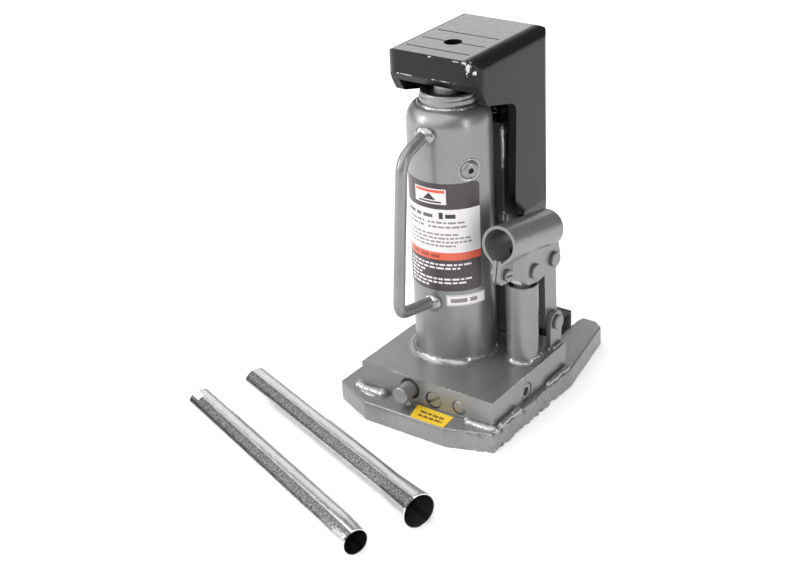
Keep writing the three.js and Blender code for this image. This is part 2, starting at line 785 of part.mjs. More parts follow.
function outletPlug() {
  const right = blockBox.right - 0.2;
  const place = [outlet.y, outlet.z];
  const body = rod('x', place, outlet.boreR - 0.3, [right - 9, right], medium, 0.7);
  const hex = new THREE.Shape().absarc(...place, 3.5, 0, 2 * Math.PI);
  return cut(body, slab('x', hex, [right - 5, right + 1], 3));
}

// ---------------------------------------------------------------- carry handle, labels and tag

function carryHandle() {
  const at = (reach, z) => new THREE.Vector3(0, -reach, z);
  const start = tank.r + 1.2;
  const path = new THREE.CatmullRomCurve3([
    at(start, shoulderZ - 2.5),
    at(start + 10, shoulderZ - 4.8),
    at(start + 17, shoulderZ - 6.6),
    at(53.4, shoulderZ - 11.5),
    at(56, shoulderZ - 20),
    at(57, shoulderZ - 34),
    at(64.8, 98),
    at(65, 92.6),
    at(62.4, 89),
    at(58, 87.6),
    at(start + 12, 84),
    at(start, 81.2),
  ], false, 'centripetal');
  return bar(4, path, 44, 4);
}

// A thin sheet on the tank's wall between two angles in degrees and two heights.
function wallSheet([from, to], [low, high], lift, thick) {
  const inner = tank.r + lift;
  const [a0, a1] = [from, to].map(THREE.MathUtils.degToRad);
  const shape = new THREE.Shape();
  shape.absarc(0, 0, inner + thick, a0, a1, false);
  shape.absarc(0, 0, inner, a1, a0, true);
  shape.closePath();
  return slab('z', shape, [low, high], 12);
}

function valveTag() {
  const shape = outline([[5, -1.2], [35, -2.2], [36.4, -16.6], [9, -16.6]]);
  const body = slab('z', shape, [plate.thick + 0.15, plate.thick + 0.55]);
  return body.translate([0, blockBox.front, 0]);
}

// ---------------------------------------------------------------- pump handle

function tubeShell(profile, wall) {
  const inside = [...profile].reverse().map(([r, z]) => [r - wall, z]);
  return turned([...profile, ...inside, profile[0]], medium);
}

function handleLower() {
  const { r, length, swageR, wall } = handle;
  const waist = swageR + 0.8 * (r - swageR);
  const taper = [length - 23, length - 12];
  const body = tubeShell([[r, 0], [r, taper[0]], [waist, taper[1]], [swageR, length]], wall);
  const notch = box([-r - 2, 0], [-2.6, 2.6], [-1, 9]);
  return cut(body, notch);
}

function handleUpper() {
  const { r, length, flareR, wall } = handle;
  const bell = r + 0.6 * (flareR - r);
  return tubeShell([[r, 0], [r, length - 31], [bell, length - 11], [flareR, length]], wall);
}

// Lays a piece drawn along +Z on the floor, from a rear end towards a front end.
function laid(mesh, rear, front) {
  const from = new THREE.Vector3(...rear);
  const along = new THREE.Vector3(...front).sub(from).normalize();
  mesh.quaternion.setFromUnitVectors(new THREE.Vector3(0, 0, 1), along);
  mesh.position.copy(from);
  return mesh;
}

// ---------------------------------------------------------------- assembly

function baseGroup() {
  const group = new THREE.Group();
  const place = (name, body, look) => group.add(named(name, geometryOf(body), look));
  place('base_plate', basePlate(), 'greyPaint');
  place('pump_block', pumpBlock(), 'greyPaint');
  place('reservoir_tank', reservoirTank(), 'greyPaint');
  place('filler_plug', fillerPlug(), 'greyPaint');
  place('top_nut', topNut(), 'greyPaint');
  place('wiper_ring', ring(ram.r + running, 12.8, [glandTop - 5.2, glandTop - 0.4]), 'rubber');
  place('pressure_cylinder', pressureCylinder(), 'bareSteel');
  place('carry_handle', carryHandle(), 'greyPaint');
  place('pump_cylinder', pumpCylinder(), 'greyPaint');
  place('pump_gland', pumpGland(), 'rubber');
  place('link_bracket_outer', bracketEar(1), 'greyPaint');
  place('link_bracket_inner', bracketEar(-1), 'greyPaint');
  const low = [link.lowY, link.lowZ];
  const bracketOuter = link.half + ear.gap + ear.thick;
  place('bracket_pin', headedPin(low, link.pinR, bracketOuter), 'greyPaint');
  place('bracket_pin_clip', pinClip(low, link.pinR, bracketOuter), 'springSteel');
  const { front } = blockBox;
  const seatY = front + safety.depth;
  const reliefSpring = coil(3, 0.6, 5, 7.6).rotate([-90, 0, 0]);
  place('safety_valve_screw', safetyScrew(), 'greyPaint');
  place('safety_valve_spring', reliefSpring.translate([safety.x, front + 10.2, safety.z]), 'springSteel');
  place('safety_valve_ball', ball(safety.x, seatY - ballR - 0.2, safety.z), 'bareSteel');
  place('release_valve_ball', ball(valve.x, front + valve.depth - 2.6, valve.z, 2.4), 'bareSteel');
  place('release_valve_seal', releaseSeal(), 'rubber');
  const plugSpan = [front - 0.4, front + gallery.plugDepth - 0.5];
  const plug = rod('y', [gallery.x, gallery.z], gallery.plugR - 0.2, plugSpan, medium, 0.6);
  place('gallery_plug', plug, 'greyPaint');
  place('outlet_plug', outletPlug(), 'greyPaint');
  const chamber = blockBox.right - outlet.chamberDepth;
  place('outlet_check_ball', ball(chamber + ballR + 0.3, outlet.y, outlet.z), 'bareSteel');
  const checkSpring = coil(2.6, 0.5, 5, 9).rotate([0, 90, 0]);
  place('outlet_check_spring', checkSpring.translate([chamber + 7, outlet.y, outlet.z]), 'springSteel');
  place('tank_label', wallSheet([-165, -15.5], [90.5, 169], 0.1, 0.15), 'labelPaper');
  place('part_label', wallSheet([-67.6, -11], [79.3, 87.8], 0.1, 0.15), 'labelPaper');
  place('valve_tag', valveTag(), 'tagYellow');
  return group;
}

// The frame and its guide stand a little to one side of the ram.
function guideGroup() {
  const group = new THREE.Group();
  group.position.x = frame.offset;
  const place = (name, body, look) => group.add(named(name, geometryOf(body), look));
  const foot = [block.top + gap, springFoot.top];
  const hanger = [springTop.bottom, closedHeight - frame.wall - gap];
  place('guide_rail', guideRail(), 'greyPaint');
  place('guide_plate', guidePlate(), 'greyPaint');
  place('spring_foot', springHanger(foot, springFoot.holeZ), 'bareSteel');
  place('lift_frame', liftFrame(), 'blackPaint');
  place('lift_toe', liftToe(), 'blackPaint');
  place('guide_keeper_right', guideKeeper(1), 'blackPaint');
  place('guide_keeper_left', guideKeeper(-1), 'blackPaint');
  place('spring_hanger', springHanger(hanger, springTop.holeZ), 'blackPaint');
  place('return_spring_right', returnSpring(1), 'springSteel');
  place('return_spring_left', returnSpring(-1), 'springSteel');
  return group;
}

function ramGroup() {
  const group = new THREE.Group();
  const place = (name, body, look) => group.add(named(name, geometryOf(body), look));
  place('ram', ramShaft(), 'bareSteel');
  const collar = [ramTop - 6.5, closedHeight - frame.wall - gap];
  place('ram_collar', ring(ram.r + running, ram.r + 4.5, collar), 'blackPaint');
  const across = [spigotR + running, cylinder.bore - running];
  place('ram_piston', ring(...across, [pistonZ.piston, pistonZ.shoulder], fine), 'bareSteel');
  place('piston_cup', ring(...across, [pistonZ.cup, pistonZ.piston - gap], fine), 'rubber');
  place('piston_nut', pistonNut(), 'bareSteel');
  return group;
}

function valveGroup() {
  const group = new THREE.Group();
  group.add(named('release_valve', geometryOf(releaseValve()), 'greyPaint'));
  group.add(named('release_valve_lug', geometryOf(releaseLug()), 'greyPaint'));
  return group;
}

function plungerGroup() {
  const group = new THREE.Group();
  group.add(named('plunger', geometryOf(plunger()), 'bareSteel'));
  group.add(named('plunger_cup', geometryOf(plungerCup()), 'rubber'));
  return group;
}

function linkGroup() {
  const group = new THREE.Group();
  const across = [pumpX - link.half, pumpX + link.half];
  const [low, high] = [[link.lowY, link.lowZ], [link.highY, link.highZ]];
  const body = flatLink(low, high, link.halfWidth, across, link.pinR + running);
  group.add(named('pump_link', geometryOf(body), 'greyPaint'));
  return group;
}

function leverGroup() {
  const group = new THREE.Group();
  group.position.set(pumpX, link.highY, link.highZ);
  group.rotation.x = -THREE.MathUtils.degToRad(lever.tilt);
  const place = (name, body, look) => group.add(named(name, geometryOf(body), look));
  const local = (body) => body.translate([-pumpX, 0, 0]);
  const pinPlace = plungerPinPlace();
  place('handle_socket', handleSocket(), 'greyPaint');
  place('link_pin', local(headedPin([0, 0], link.pinR, leverOuter)), 'greyPaint');
  place('link_pin_clip', local(pinClip([0, 0], link.pinR, leverOuter)), 'springSteel');
  place('plunger_pin', local(headedPin(pinPlace, leverPinR, leverOuter)), 'greyPaint');
  place('plunger_pin_clip', local(pinClip(pinPlace, leverPinR, leverOuter)), 'springSteel');
  place('clamp_screw', clampScrew(), 'greyPaint');
  place('clamp_nut', clampNut(), 'greyPaint');
  return group;
}

function handleGroup() {
  const group = new THREE.Group();
  const onFloor = handle.r + 0.05;
  const flareEnd = handle.flareR + 0.1;
  const lower = named('handle_lower', geometryOf(handleLower()), 'zinc');
  const upper = named('handle_upper', geometryOf(handleUpper()), 'zinc');
  group.add(laid(lower, [-131.25, -126.75, onFloor], [60.1, -198.4, onFloor]));
  group.add(laid(upper, [-116.2, -84.3, onFloor], [75.1, -154.1, flareEnd]));
  return group;
}

const jack = new THREE.Group();
jack.add(baseGroup(), guideGroup(), ramGroup(), valveGroup());
jack.add(plungerGroup(), linkGroup(), leverGroup(), handleGroup());
jack.userData.stroke = stroke;

export default jack;
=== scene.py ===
"""Looks for a hydraulic toe jack and its two-piece pump handle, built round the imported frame.

Lengths are millimetres in the frame's own axes: +Z up along the ram, +Y towards the lifting toe
and +X towards the pump. They become metres where a mesh is made. Lamps are placed in metres.
"""

import json
import logging
import math
from dataclasses import dataclass, field
from enum import Enum
from functools import cache
from typing import Callable, Optional, Sequence

import bmesh
import bpy
import numpy as np
from mathutils import Matrix, Vector
from mathutils.geometry import delaunay_2d_cdt

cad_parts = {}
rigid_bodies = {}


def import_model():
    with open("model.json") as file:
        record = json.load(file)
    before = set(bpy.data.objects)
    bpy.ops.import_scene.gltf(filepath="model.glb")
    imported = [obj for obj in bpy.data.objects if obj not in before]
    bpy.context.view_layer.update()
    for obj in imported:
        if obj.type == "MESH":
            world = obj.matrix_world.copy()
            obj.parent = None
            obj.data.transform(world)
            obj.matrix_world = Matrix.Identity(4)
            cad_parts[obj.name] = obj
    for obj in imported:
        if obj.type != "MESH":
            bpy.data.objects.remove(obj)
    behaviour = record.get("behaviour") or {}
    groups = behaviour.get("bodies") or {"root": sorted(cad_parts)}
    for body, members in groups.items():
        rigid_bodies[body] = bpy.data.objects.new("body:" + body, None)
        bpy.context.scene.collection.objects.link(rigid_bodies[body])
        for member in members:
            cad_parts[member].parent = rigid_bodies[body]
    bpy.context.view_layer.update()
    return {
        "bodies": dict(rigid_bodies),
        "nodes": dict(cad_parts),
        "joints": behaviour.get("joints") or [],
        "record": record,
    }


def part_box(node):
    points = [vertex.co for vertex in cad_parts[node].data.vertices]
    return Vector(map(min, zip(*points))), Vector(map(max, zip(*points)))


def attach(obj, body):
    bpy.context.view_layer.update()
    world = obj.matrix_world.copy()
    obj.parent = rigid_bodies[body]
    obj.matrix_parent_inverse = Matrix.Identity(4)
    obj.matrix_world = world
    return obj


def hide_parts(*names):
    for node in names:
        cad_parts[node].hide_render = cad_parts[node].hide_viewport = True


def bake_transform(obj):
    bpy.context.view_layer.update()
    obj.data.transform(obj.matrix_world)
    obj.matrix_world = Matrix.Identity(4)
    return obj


LOG = logging.getLogger("toe_jack")
MM = 0.001
Triple = tuple[float, float, float]
ORIGIN: Triple = (0.0, 0.0, 0.0)
UP: Triple = (0.0, 0.0, 1.0)
FORWARD: Triple = (0.0, -1.0, 0.0)


# ---------------------------------------------------------------- finishes

CHIPPED = (0.62, 0.61, 0.6)  # bare steel under the paint
CHIP_DEPTH = 0.15
# Colour of the flecks of painted reflection: a dark surrounding seen in the zinc tubes.
REFLECTION_FLECK = (0.035, 0.035, 0.04)
PAPER_SHADE = (0.2, 0.2, 0.2)

class Slot(Enum):
    """The record's material slots."""

    GREY = "grey_paint"
    BLACK = "black_paint"
    STEEL = "bare_steel"
    ZINC = "zinc_plate"
    SPRING = "spring_steel"
    RUBBER = "rubber"
    LABEL = "label_film"
    TAG = "tag_film"


class Special(Enum):
    """Materials that some pieces wear in place of their slot's own."""

    WELD = "weld_grey"
    CUT_PLATE = "cut_plate_grey"
    # Painted shade: a black lining where a hole falls into shadow.
    HOLE = "painted_hole_shade"


class Graph:
    """A material's node tree, with one short method for each kind of node used here."""

    def __init__(self, name: str) -> None:
        self.material = bpy.data.materials.new(name)
        self.material.use_nodes = True
        self.tree = self.material.node_tree
        self.tree.nodes.clear()
        self.shader = self.node("BsdfPrincipled")
        self.node("OutputMaterial", Surface=self.shader.outputs["BSDF"])

    def put(self, target, value) -> None:
        """Links an input socket to an output, or sets it to a constant."""
        if isinstance(value, bpy.types.NodeSocket):
            self.tree.links.new(value, target)
        elif isinstance(value, tuple) and len(value) == 3 and len(target.default_value) == 4:
            target.default_value = (*value, 1.0)
        else:
            target.default_value = value

    def fill(self, node, inputs: dict) -> None:
        """Puts values on a node's inputs. Underscores in their names stand for spaces."""
        for key, value in inputs.items():
            self.put(node.inputs[key.replace("_", " ")], value)

    def set(self, **inputs) -> None:
        """Sets inputs of the Principled shader."""
        self.fill(self.shader, inputs)

    def node(self, kind: str, **inputs):
        node = self.tree.nodes.new("ShaderNode" + kind)
        self.fill(node, inputs)
        return node

    def place(self, scale: Triple = (1.0, 1.0, 1.0), shift: Triple = ORIGIN, uv: bool = False):
        """Object coordinates in metres, or the surface's own UV, scaled and then shifted."""
        source = self.node("TexCoord").outputs["UV" if uv else "Object"]
        return self.node("Mapping", Vector=source, Scale=scale, Location=shift).outputs["Vector"]

    def inside(self, centre: Triple, size: Triple):
        """Distance from a centre as a share of the half sizes: 0 at the centre, 1 at the rim."""
        scale = tuple(1.0 / (s * MM) for s in size)
        shift = tuple(-c / s for c, s in zip(centre, size))
        length = self.node("VectorMath", Vector=self.place(scale, shift))
        length.operation = "LENGTH"
        return length.outputs["Value"]

    def noise(self, scale: float, detail: float = 3.0, rough: float = 0.5, at=None):
        """A noise in three dimensions, by default in object coordinates."""
        at = at or self.place()
        made = self.node("TexNoise", Vector=at, Scale=scale, Detail=detail, Roughness=rough)
        return made.outputs["Fac"]

    def remap(self, value, low: float, high: float, to_low: float = 0.0, to_high: float = 1.0):
        """Maps low..high to to_low..to_high with clamped ends."""
        made = self.node("MapRange", Value=value, From_Min=low, From_Max=high, To_Min=to_low,
                         To_Max=to_high)
        return made.outputs["Result"]

    def math(self, operation: str, a, b=0.0):
        node = self.node("Math")
        node.operation = operation
        self.put(node.inputs[0], a)
        self.put(node.inputs[1], b)
        return node.outputs[0]

    def mix(self, factor, a, b):
        """A colour between a and b."""
        node = self.node("Mix")
        node.data_type = "RGBA"
        self.put(node.inputs["Factor"], factor)
        for socket in node.inputs:
            if socket.type == "RGBA":
                self.put(socket, {"A": a, "B": b}[socket.name])
        return [socket for socket in node.outputs if socket.type == "RGBA"][0]

    def attribute(self, name: str, output: str = "Fac"):
        node = self.node("Attribute")
        node.attribute_name = name
        return node.outputs[output]

    def bump(self, height, depth_mm: float, under=None):
        """The normal of a height of the given depth, laid over another normal or none."""
        laid = {"Normal": under} if under else {}
        return self.node("Bump", Height=height, Distance=depth_mm * MM, **laid).outputs["Normal"]


@dataclass(frozen=True)
class PaintFinish:
    """A sprayed gloss paint over steel, chipped at its edges.

    Attributes:
        light, dark: the paint's colour range.
        metallic: how metallic the paint looks.
        roughness: lowest and highest roughness.
        peel: depth of the orange peel in millimetres.
        chips: noise level above which an edge is chipped; NO_CHIPS for none.
        cast: depth of the coarse unevenness under the paint in millimetres.
        scars: chipped places, each a centre and half sizes in millimetres.
        specular: specular level of the paint.
        drag: depth of upright cutting marks in millimetres.
    """

    light: Triple
    dark: Triple
    metallic: float
    roughness: tuple[float, float]
    peel: float
    chips: float
    cast: float = 0.05
    scars: tuple[tuple[Triple, Triple], ...] = ()
    specular: float = 0.5
    drag: float = 0.0

    def build(self, name: str) -> bpy.types.Material:
        graph = Graph(name)
        cloud = graph.noise(22.0, 4.0, 0.6)
        fine = graph.noise(240.0, 3.0, 0.6)
        colour = graph.mix(graph.remap(cloud, 0.32, 0.68), self.dark, self.light)
        coarse = graph.noise(260.0, 4.0, 0.7)
        ragged = graph.math("ADD", coarse, graph.math("MULTIPLY", fine, 0.35))
        worn = graph.remap(ragged, self.chips, self.chips + 0.03)
        chip = graph.math("MULTIPLY", worn, graph.attribute("edge"))
        ripped = graph.noise(1.0, 5.0, 0.75, graph.place((420.0, 420.0, 210.0)))
        for centre, size in self.scars:
            fade = graph.math("MULTIPLY", graph.inside(centre, size), 0.24)
            torn = graph.math("SUBTRACT", ripped, fade)
            chip = graph.math("MAXIMUM", chip, graph.remap(torn, 0.35, 0.38))
        normal = graph.bump(graph.noise(95.0, 5.0, 0.65), self.cast)
        if self.drag:
            lines = graph.noise(1.0, 4.0, 0.6, graph.place((420.0, 420.0, 30.0)))
            normal = graph.bump(lines, self.drag, normal)
        normal = graph.bump(graph.noise(520.0, 2.0, 0.4), self.peel, normal)
        graph.set(
            Base_Color=graph.mix(chip, colour, CHIPPED),
            Metallic=graph.remap(chip, 0.0, 1.0, self.metallic, 1.0),
            Roughness=graph.remap(fine, 0.3, 0.7, *self.roughness),
            Specular_IOR_Level=self.specular,
            Normal=graph.bump(graph.math("MULTIPLY", chip, -1.0), CHIP_DEPTH, normal),
        )
        return graph.material


@dataclass(frozen=True)
class MetalFinish:
    """Bare or plated metal.

    Attributes:
        colour, shade: its colour and the colour of its clouds.
        roughness: lowest and highest roughness.
        grain: scale of its fine surface.
        depth: depth of its fine surface in millimetres.
        reflection_mottle: how dark the flecks of painted reflection in a surface's "band" are.
        metallic: how metallic it looks.
    """

    colour: Triple
    shade: Triple
    roughness: tuple[float, float]
    grain: float
    depth: float
    reflection_mottle: float = 0.0
    metallic: float = 1.0

    def build(self, name: str) -> bpy.types.Material:
        graph = Graph(name)
        stain = graph.noise(60.0, 4.0, 0.65)
        grain = graph.noise(self.grain, 3.0, 0.6)
        colour = graph.mix(graph.remap(stain, 0.35, 0.7), self.colour, self.shade)
        # Painted reflection: dark flecks over the surface's band stand in for a dark surrounding
        # reflected in the metal.
        if self.reflection_mottle:
            flecks = graph.noise(1.0, 6.0, 0.75, graph.place((1000.0, 520.0, 1.0), uv=True))
            band = graph.remap(graph.attribute("band"), 0.04, 0.3)
            painted_reflection = graph.math("MULTIPLY", band, graph.remap(flecks, 0.38, 0.58, 0.66, 1.0))
            painted_reflection = graph.math("MULTIPLY", painted_reflection, self.reflection_mottle)
            colour = graph.mix(painted_reflection, colour, REFLECTION_FLECK)
        graph.set(
            Base_Color=colour,
            Metallic=self.metallic,
            Roughness=graph.remap(grain, 0.3, 0.7, *self.roughness),
            Normal=graph.bump(grain, self.depth),
        )
        return graph.material


@dataclass(frozen=True)
class PlainFinish:
    """Rubber or printed film: one colour with a little variation and a fine surface."""

    colour: Triple
    roughness: float
    printed: bool = False

    def build(self, name: str) -> bpy.types.Material:
        graph = Graph(name)
        cloud = graph.noise(45.0, 3.0, 0.5)
        base = graph.attribute("ink", "Color") if self.printed else self.colour
        grain = graph.noise(900.0, 3.0, 0.6)
        graph.set(
            Base_Color=graph.mix(graph.remap(cloud, 0.3, 0.7, 0.0, 0.06), base, PAPER_SHADE),
            Roughness=graph.remap(grain, 0.3, 0.7, self.roughness, self.roughness + 0.1),
            Normal=graph.bump(grain, 0.02),
            Coat_Weight=0.25 if self.printed else 0.0,
            Coat_Roughness=0.3,
        )
        return graph.material


HEAD_SCARS = (
    ((30.5, -20.5, 249.0), (2.6, 2.6, 5.6)),
    ((33.5, -17.5, 246.0), (2.6, 3.6, 2.6)),
    ((27.0, -22.0, 252.4), (4.0, 1.2, 1.4)),
    ((22.0, -22.4, 252.6), (5.0, 0.9, 1.0)),
    ((2.0, -22.6, 252.7), (2.6, 0.7, 0.8)),
    ((-33.6, -20.5, 240.5), (1.1, 2.0, 4.5)),
    ((-18.0, -22.6, 238.0), (8.0, 0.6, 0.6)),
    ((10.0, -22.6, 238.0), (12.0, 0.5, 0.5)),
)
BLOCK_SCARS = (
    ((-12.0, -54.8, 34.4), (14.0, 0.7, 0.6)),
    ((36.0, -54.8, 34.4), (16.0, 0.8, 0.7)),
    ((64.6, -20.0, 34.3), (0.8, 14.0, 0.8)),
    ((-42.0, -40.0, 34.4), (0.8, 7.0, 0.6)),
)
NO_CHIPS = 9.0
# Black of the rubber parts, and also of the painted shade in holes.
RUBBER_BLACK_AND_SHADE = (0.012, 0.012, 0.012)
FINISHES = {
    Slot.GREY: PaintFinish((0.30, 0.305, 0.302), (0.25, 0.255, 0.252), 0.6, (0.27, 0.37), 0.012,
                           0.86, scars=BLOCK_SCARS),
    Slot.BLACK: PaintFinish((0.010, 0.0105, 0.011), (0.007, 0.0075, 0.008), 0.0, (0.16, 0.24),
                            0.015, 0.9, scars=HEAD_SCARS, specular=0.28),
    Slot.STEEL: MetalFinish((0.72, 0.72, 0.73), (0.6, 0.6, 0.6), (0.3, 0.42), 1400.0, 0.008,
                            metallic=0.7),
    # The zinc's last value is how dark the painted reflection on the tubes' band is.
    Slot.ZINC: MetalFinish((0.80, 0.81, 0.81), (0.70, 0.71, 0.71), (0.17, 0.27), 700.0, 0.008,
                           0.97),
    Slot.SPRING: MetalFinish((0.12, 0.12, 0.13), (0.05, 0.05, 0.05), (0.3, 0.45), 800.0, 0.02),
    Slot.RUBBER: PlainFinish(RUBBER_BLACK_AND_SHADE, 0.55),
    Slot.LABEL: PlainFinish((0.84, 0.82, 0.84), 0.32, printed=True),
    Slot.TAG: PlainFinish((0.95, 0.66, 0.03), 0.4, printed=True),
    Special.WELD: PaintFinish((0.42, 0.425, 0.42), (0.32, 0.325, 0.32), 0.75, (0.17, 0.27), 0.01,
                              NO_CHIPS),
    Special.CUT_PLATE: PaintFinish((0.29, 0.295, 0.292), (0.22, 0.225, 0.222), 0.6, (0.25, 0.38),
                                   0.02, 0.92, cast=0.1, drag=0.12),
    Special.HOLE: PlainFinish(RUBBER_BLACK_AND_SHADE, 0.7),
}


@cache
def paint(key: Enum) -> bpy.types.Material:
    """The material of a slot or a special finish, built once."""
    return FINISHES[key].build(key.value)


# ---------------------------------------------------------------- meshes

CORNER_SHARE = 0.45  # most of a side that a rounded corner takes up
STEEP = 0.9  # height of a unit axis above which +Z no longer serves as a hint
ON_AXIS = 0.01  # radius below which a turned point stays where it is
LEVEL = 0.01  # how far below the top a point of the top face may be

def smooth_noise(points: np.ndarray, scale: float, seed: int, terms: int = 14) -> np.ndarray:
    """A smooth pseudo-random value of about -1..1 at each point: a sum of sine waves of random
    direction, phase and length near scale."""
    random = np.random.default_rng(seed)
    directions = unit(random.normal(size=(terms, 3)))
    waves = 2 * np.pi / (scale * random.uniform(0.6, 1.8, terms))
    phases = random.uniform(0, 2 * np.pi, terms)
    return np.sin(points @ (directions * waves[:, None]).T + phases).sum(axis=1) / math.sqrt(terms)


def uneven(depth: float, scale: float, seed: int, sink: float) -> Callable:
    """A push outwards of about depth either way, over lengths near scale, less sink."""
    return lambda points: depth * smooth_noise(points, scale, seed) - sink


def unit(rows: np.ndarray) -> np.ndarray:
    """Vectors scaled to length one."""
    return rows / np.linalg.norm(rows, axis=-1, keepdims=True)


def travelled(path: np.ndarray) -> np.ndarray:
    """Distance along a path at each of its points."""
    return np.concatenate([[0], np.cumsum(np.linalg.norm(np.diff(path, axis=0), axis=1))])


def linked(name: str, data) -> bpy.types.Object:
    """A new object at the origin, linked to the scene."""
    made = bpy.data.objects.new(name, data)
    bpy.context.collection.objects.link(made)
    return made


def add_mesh(name: str, points: np.ndarray, faces: Sequence[Sequence[int]],
             smooth_deg: float = 40.0, uv: Optional[np.ndarray] = None,
             **attributes: np.ndarray) -> bpy.types.Object:
    """Makes a mesh object at the origin, without a material.

    Args:
        name: the object's name.
        points: vertices in millimetres, one row each.
        faces: vertex indices of each face.
        smooth_deg: edges sharper than this stay sharp.
        uv: one UV pair per vertex, in millimetres, stored in metres.
        attributes: one float, or one colour of three floats, per vertex.

    Returns:
        The new object, linked to the scene.
    """
    mesh = bpy.data.meshes.new(name)
    places = (np.asarray(points, float) * MM).tolist()
    mesh.from_pydata(places, [], [list(map(int, face)) for face in faces])
    mesh.validate()
    soften(mesh, smooth_deg)
    if uv is not None:
        corner = np.zeros(len(mesh.loops), np.int32)
        mesh.loops.foreach_get("vertex_index", corner)
        layer = mesh.uv_layers.new(name="UVMap")
        layer.data.foreach_set("uv", (uv[corner] * MM).astype(np.float32).ravel())
    for key, values in attributes.items():
        if values.ndim == 2:
            values = np.concatenate([values, np.ones((len(values), 1))], axis=1)
            kind, part = "FLOAT_COLOR", "color"
        else:
            kind, part = "FLOAT", "value"
        layer = mesh.attributes.new(key, kind, "POINT")
        layer.data.foreach_set(part, values.astype(np.float32).ravel())
    mesh.update()
    return linked(name, mesh)


def soften(mesh: bpy.types.Mesh, smooth_deg: float) -> None:
    """Shades a mesh smooth, except at edges sharper than an angle."""
    mesh.polygons.foreach_set("use_smooth", np.ones(len(mesh.polygons), bool))
    mesh.set_sharp_from_angle(angle=math.radians(smooth_deg))


def grid_faces(rows: int, columns: int, wrap_rows: bool = False,
               wrap_columns: bool = False) -> np.ndarray:
    """Quads of a grid of vertices stored row by row."""
    i = np.arange(rows if wrap_rows else rows - 1)
    j = np.arange(columns if wrap_columns else columns - 1)
    a, b = np.meshgrid(i, j, indexing="ij")
    c, d = (a + 1) % rows, (b + 1) % columns
    quads = [a * columns + b, a * columns + d, c * columns + d, c * columns + b]
    return np.stack(quads, axis=-1).reshape(-1, 4)


def capped(faces: np.ndarray, sides: int, count: int, flip: bool = False) -> list[list[int]]:
    """Faces of a tube with its first and last rings of vertices closed."""
    first, last = list(range(sides)), list(range(count - sides, count))
    return faces.tolist() + ([first, last[::-1]] if flip else [first[::-1], last])


def basis(axis: Sequence[float]) -> np.ndarray:
    """Three unit rows: two across the axis, the first as near +Z as can be, then the axis."""
    along = unit(np.asarray(axis, float))
    hint = np.array(UP if abs(along[2]) < STEEP else FORWARD)
    first = unit(hint - along * (hint @ along))
    return np.stack([first, np.cross(along, first), along])


def spokes(frame: np.ndarray, count: int) -> tuple[np.ndarray, np.ndarray]:
    """Angles round an axis, and the direction out from the axis at each of them."""
    angles = np.linspace(0, 2 * np.pi, count, endpoint=False)
    return angles, np.stack([np.cos(angles), np.sin(angles)], axis=1) @ frame[:2]


def rounded(corners: Sequence[Sequence[float]], steps: int = 5) -> np.ndarray:
    """An open outline of [u, v, radius] corners, with each corner rounded to its radius."""
    places = [np.array(c[:2], float) for c in corners]
    result = [places[0]]
    for before, here, after, corner in zip(places, places[1:], places[2:], corners[1:]):
        if len(corner) < 3:
            result.append(here)
            continue
        u, v = before - here, after - here
        reach = min(corner[2], *(CORNER_SHARE * np.linalg.norm(side) for side in (u, v)))
        start, end = here + unit(u) * reach, here + unit(v) * reach
        for t in np.linspace(0, 1, steps + 1):
            result.append((1 - t) ** 2 * start + 2 * t * (1 - t) * here + t * t * end)
    return np.array([*result, places[-1]])


def upright(radius: float, low: float, high: float, count: int) -> np.ndarray:
    """A straight side of a turned profile."""
    return np.stack([np.full(count, radius), np.linspace(low, high, count)], axis=1)


def turned(name: str, profile: np.ndarray, origin: Sequence[float] = ORIGIN,
           axis: Sequence[float] = UP, sides: int = 96, ripple: Optional[Callable] = None,
           smooth_deg: float = 32.0) -> bpy.types.Object:
    """Turns a [radius, height] profile about an axis through origin.

    Args:
        name: the object's name.
        profile: it starts and ends on the axis, or is an open skin.
        origin, axis: a point on the axis, and its direction.
        sides: faces round the axis.
        ripple: takes the points and gives a distance to push each one outwards.
        smooth_deg: edges sharper than this stay sharp.

    Returns:
        The new object.
    """
    frame = basis(axis)
    angles, ring = spokes(frame, sides)
    radius, height = profile[:, 0], profile[:, 1]
    points = (radius[:, None, None] * ring[None] + height[:, None, None] * frame[2]).reshape(-1, 3)
    if ripple is not None:
        push = ripple(points) * (np.repeat(radius, sides) > ON_AXIS)
        points = points + np.tile(ring, (len(profile), 1)) * push[:, None]
    around = np.tile(angles * radius.max(), len(profile))
    uv = np.stack([around, np.repeat(travelled(profile), sides)], axis=1)
    faces = grid_faces(len(profile), sides, wrap_columns=True)
    return add_mesh(name, points + np.asarray(origin, float), faces, smooth_deg, uv)


def sweep(name: str, path: np.ndarray, radius: np.ndarray, sides: int) -> bpy.types.Object:
    """A round bar of changing radius carried along a path, closed at both ends."""
    tangent = unit(np.gradient(path, axis=0))
    across = basis(tangent[0])[0]
    angles = np.linspace(0, 2 * np.pi, sides, endpoint=False)[:, None]
    rings = []
    for place, along, size in zip(path, tangent, radius):
        across = unit(across - along * (across @ along))
        side = np.cross(along, across)
        rings.append(place + size * (np.cos(angles) * across + np.sin(angles) * side))
    points = np.concatenate(rings)
    faces = capped(grid_faces(len(path), sides, wrap_columns=True), sides, len(points))
    return add_mesh(name, points, faces, 50.0)


def resample(path: Sequence[Sequence[float]], step: float) -> np.ndarray:
    """Points along a path about step apart."""
    points = np.asarray(path, float)
    length = travelled(points)
    at = np.linspace(0, length[-1], max(4, int(length[-1] / step) + 1))
    return np.stack([np.interp(at, length, points[:, k]) for k in range(3)], axis=1)


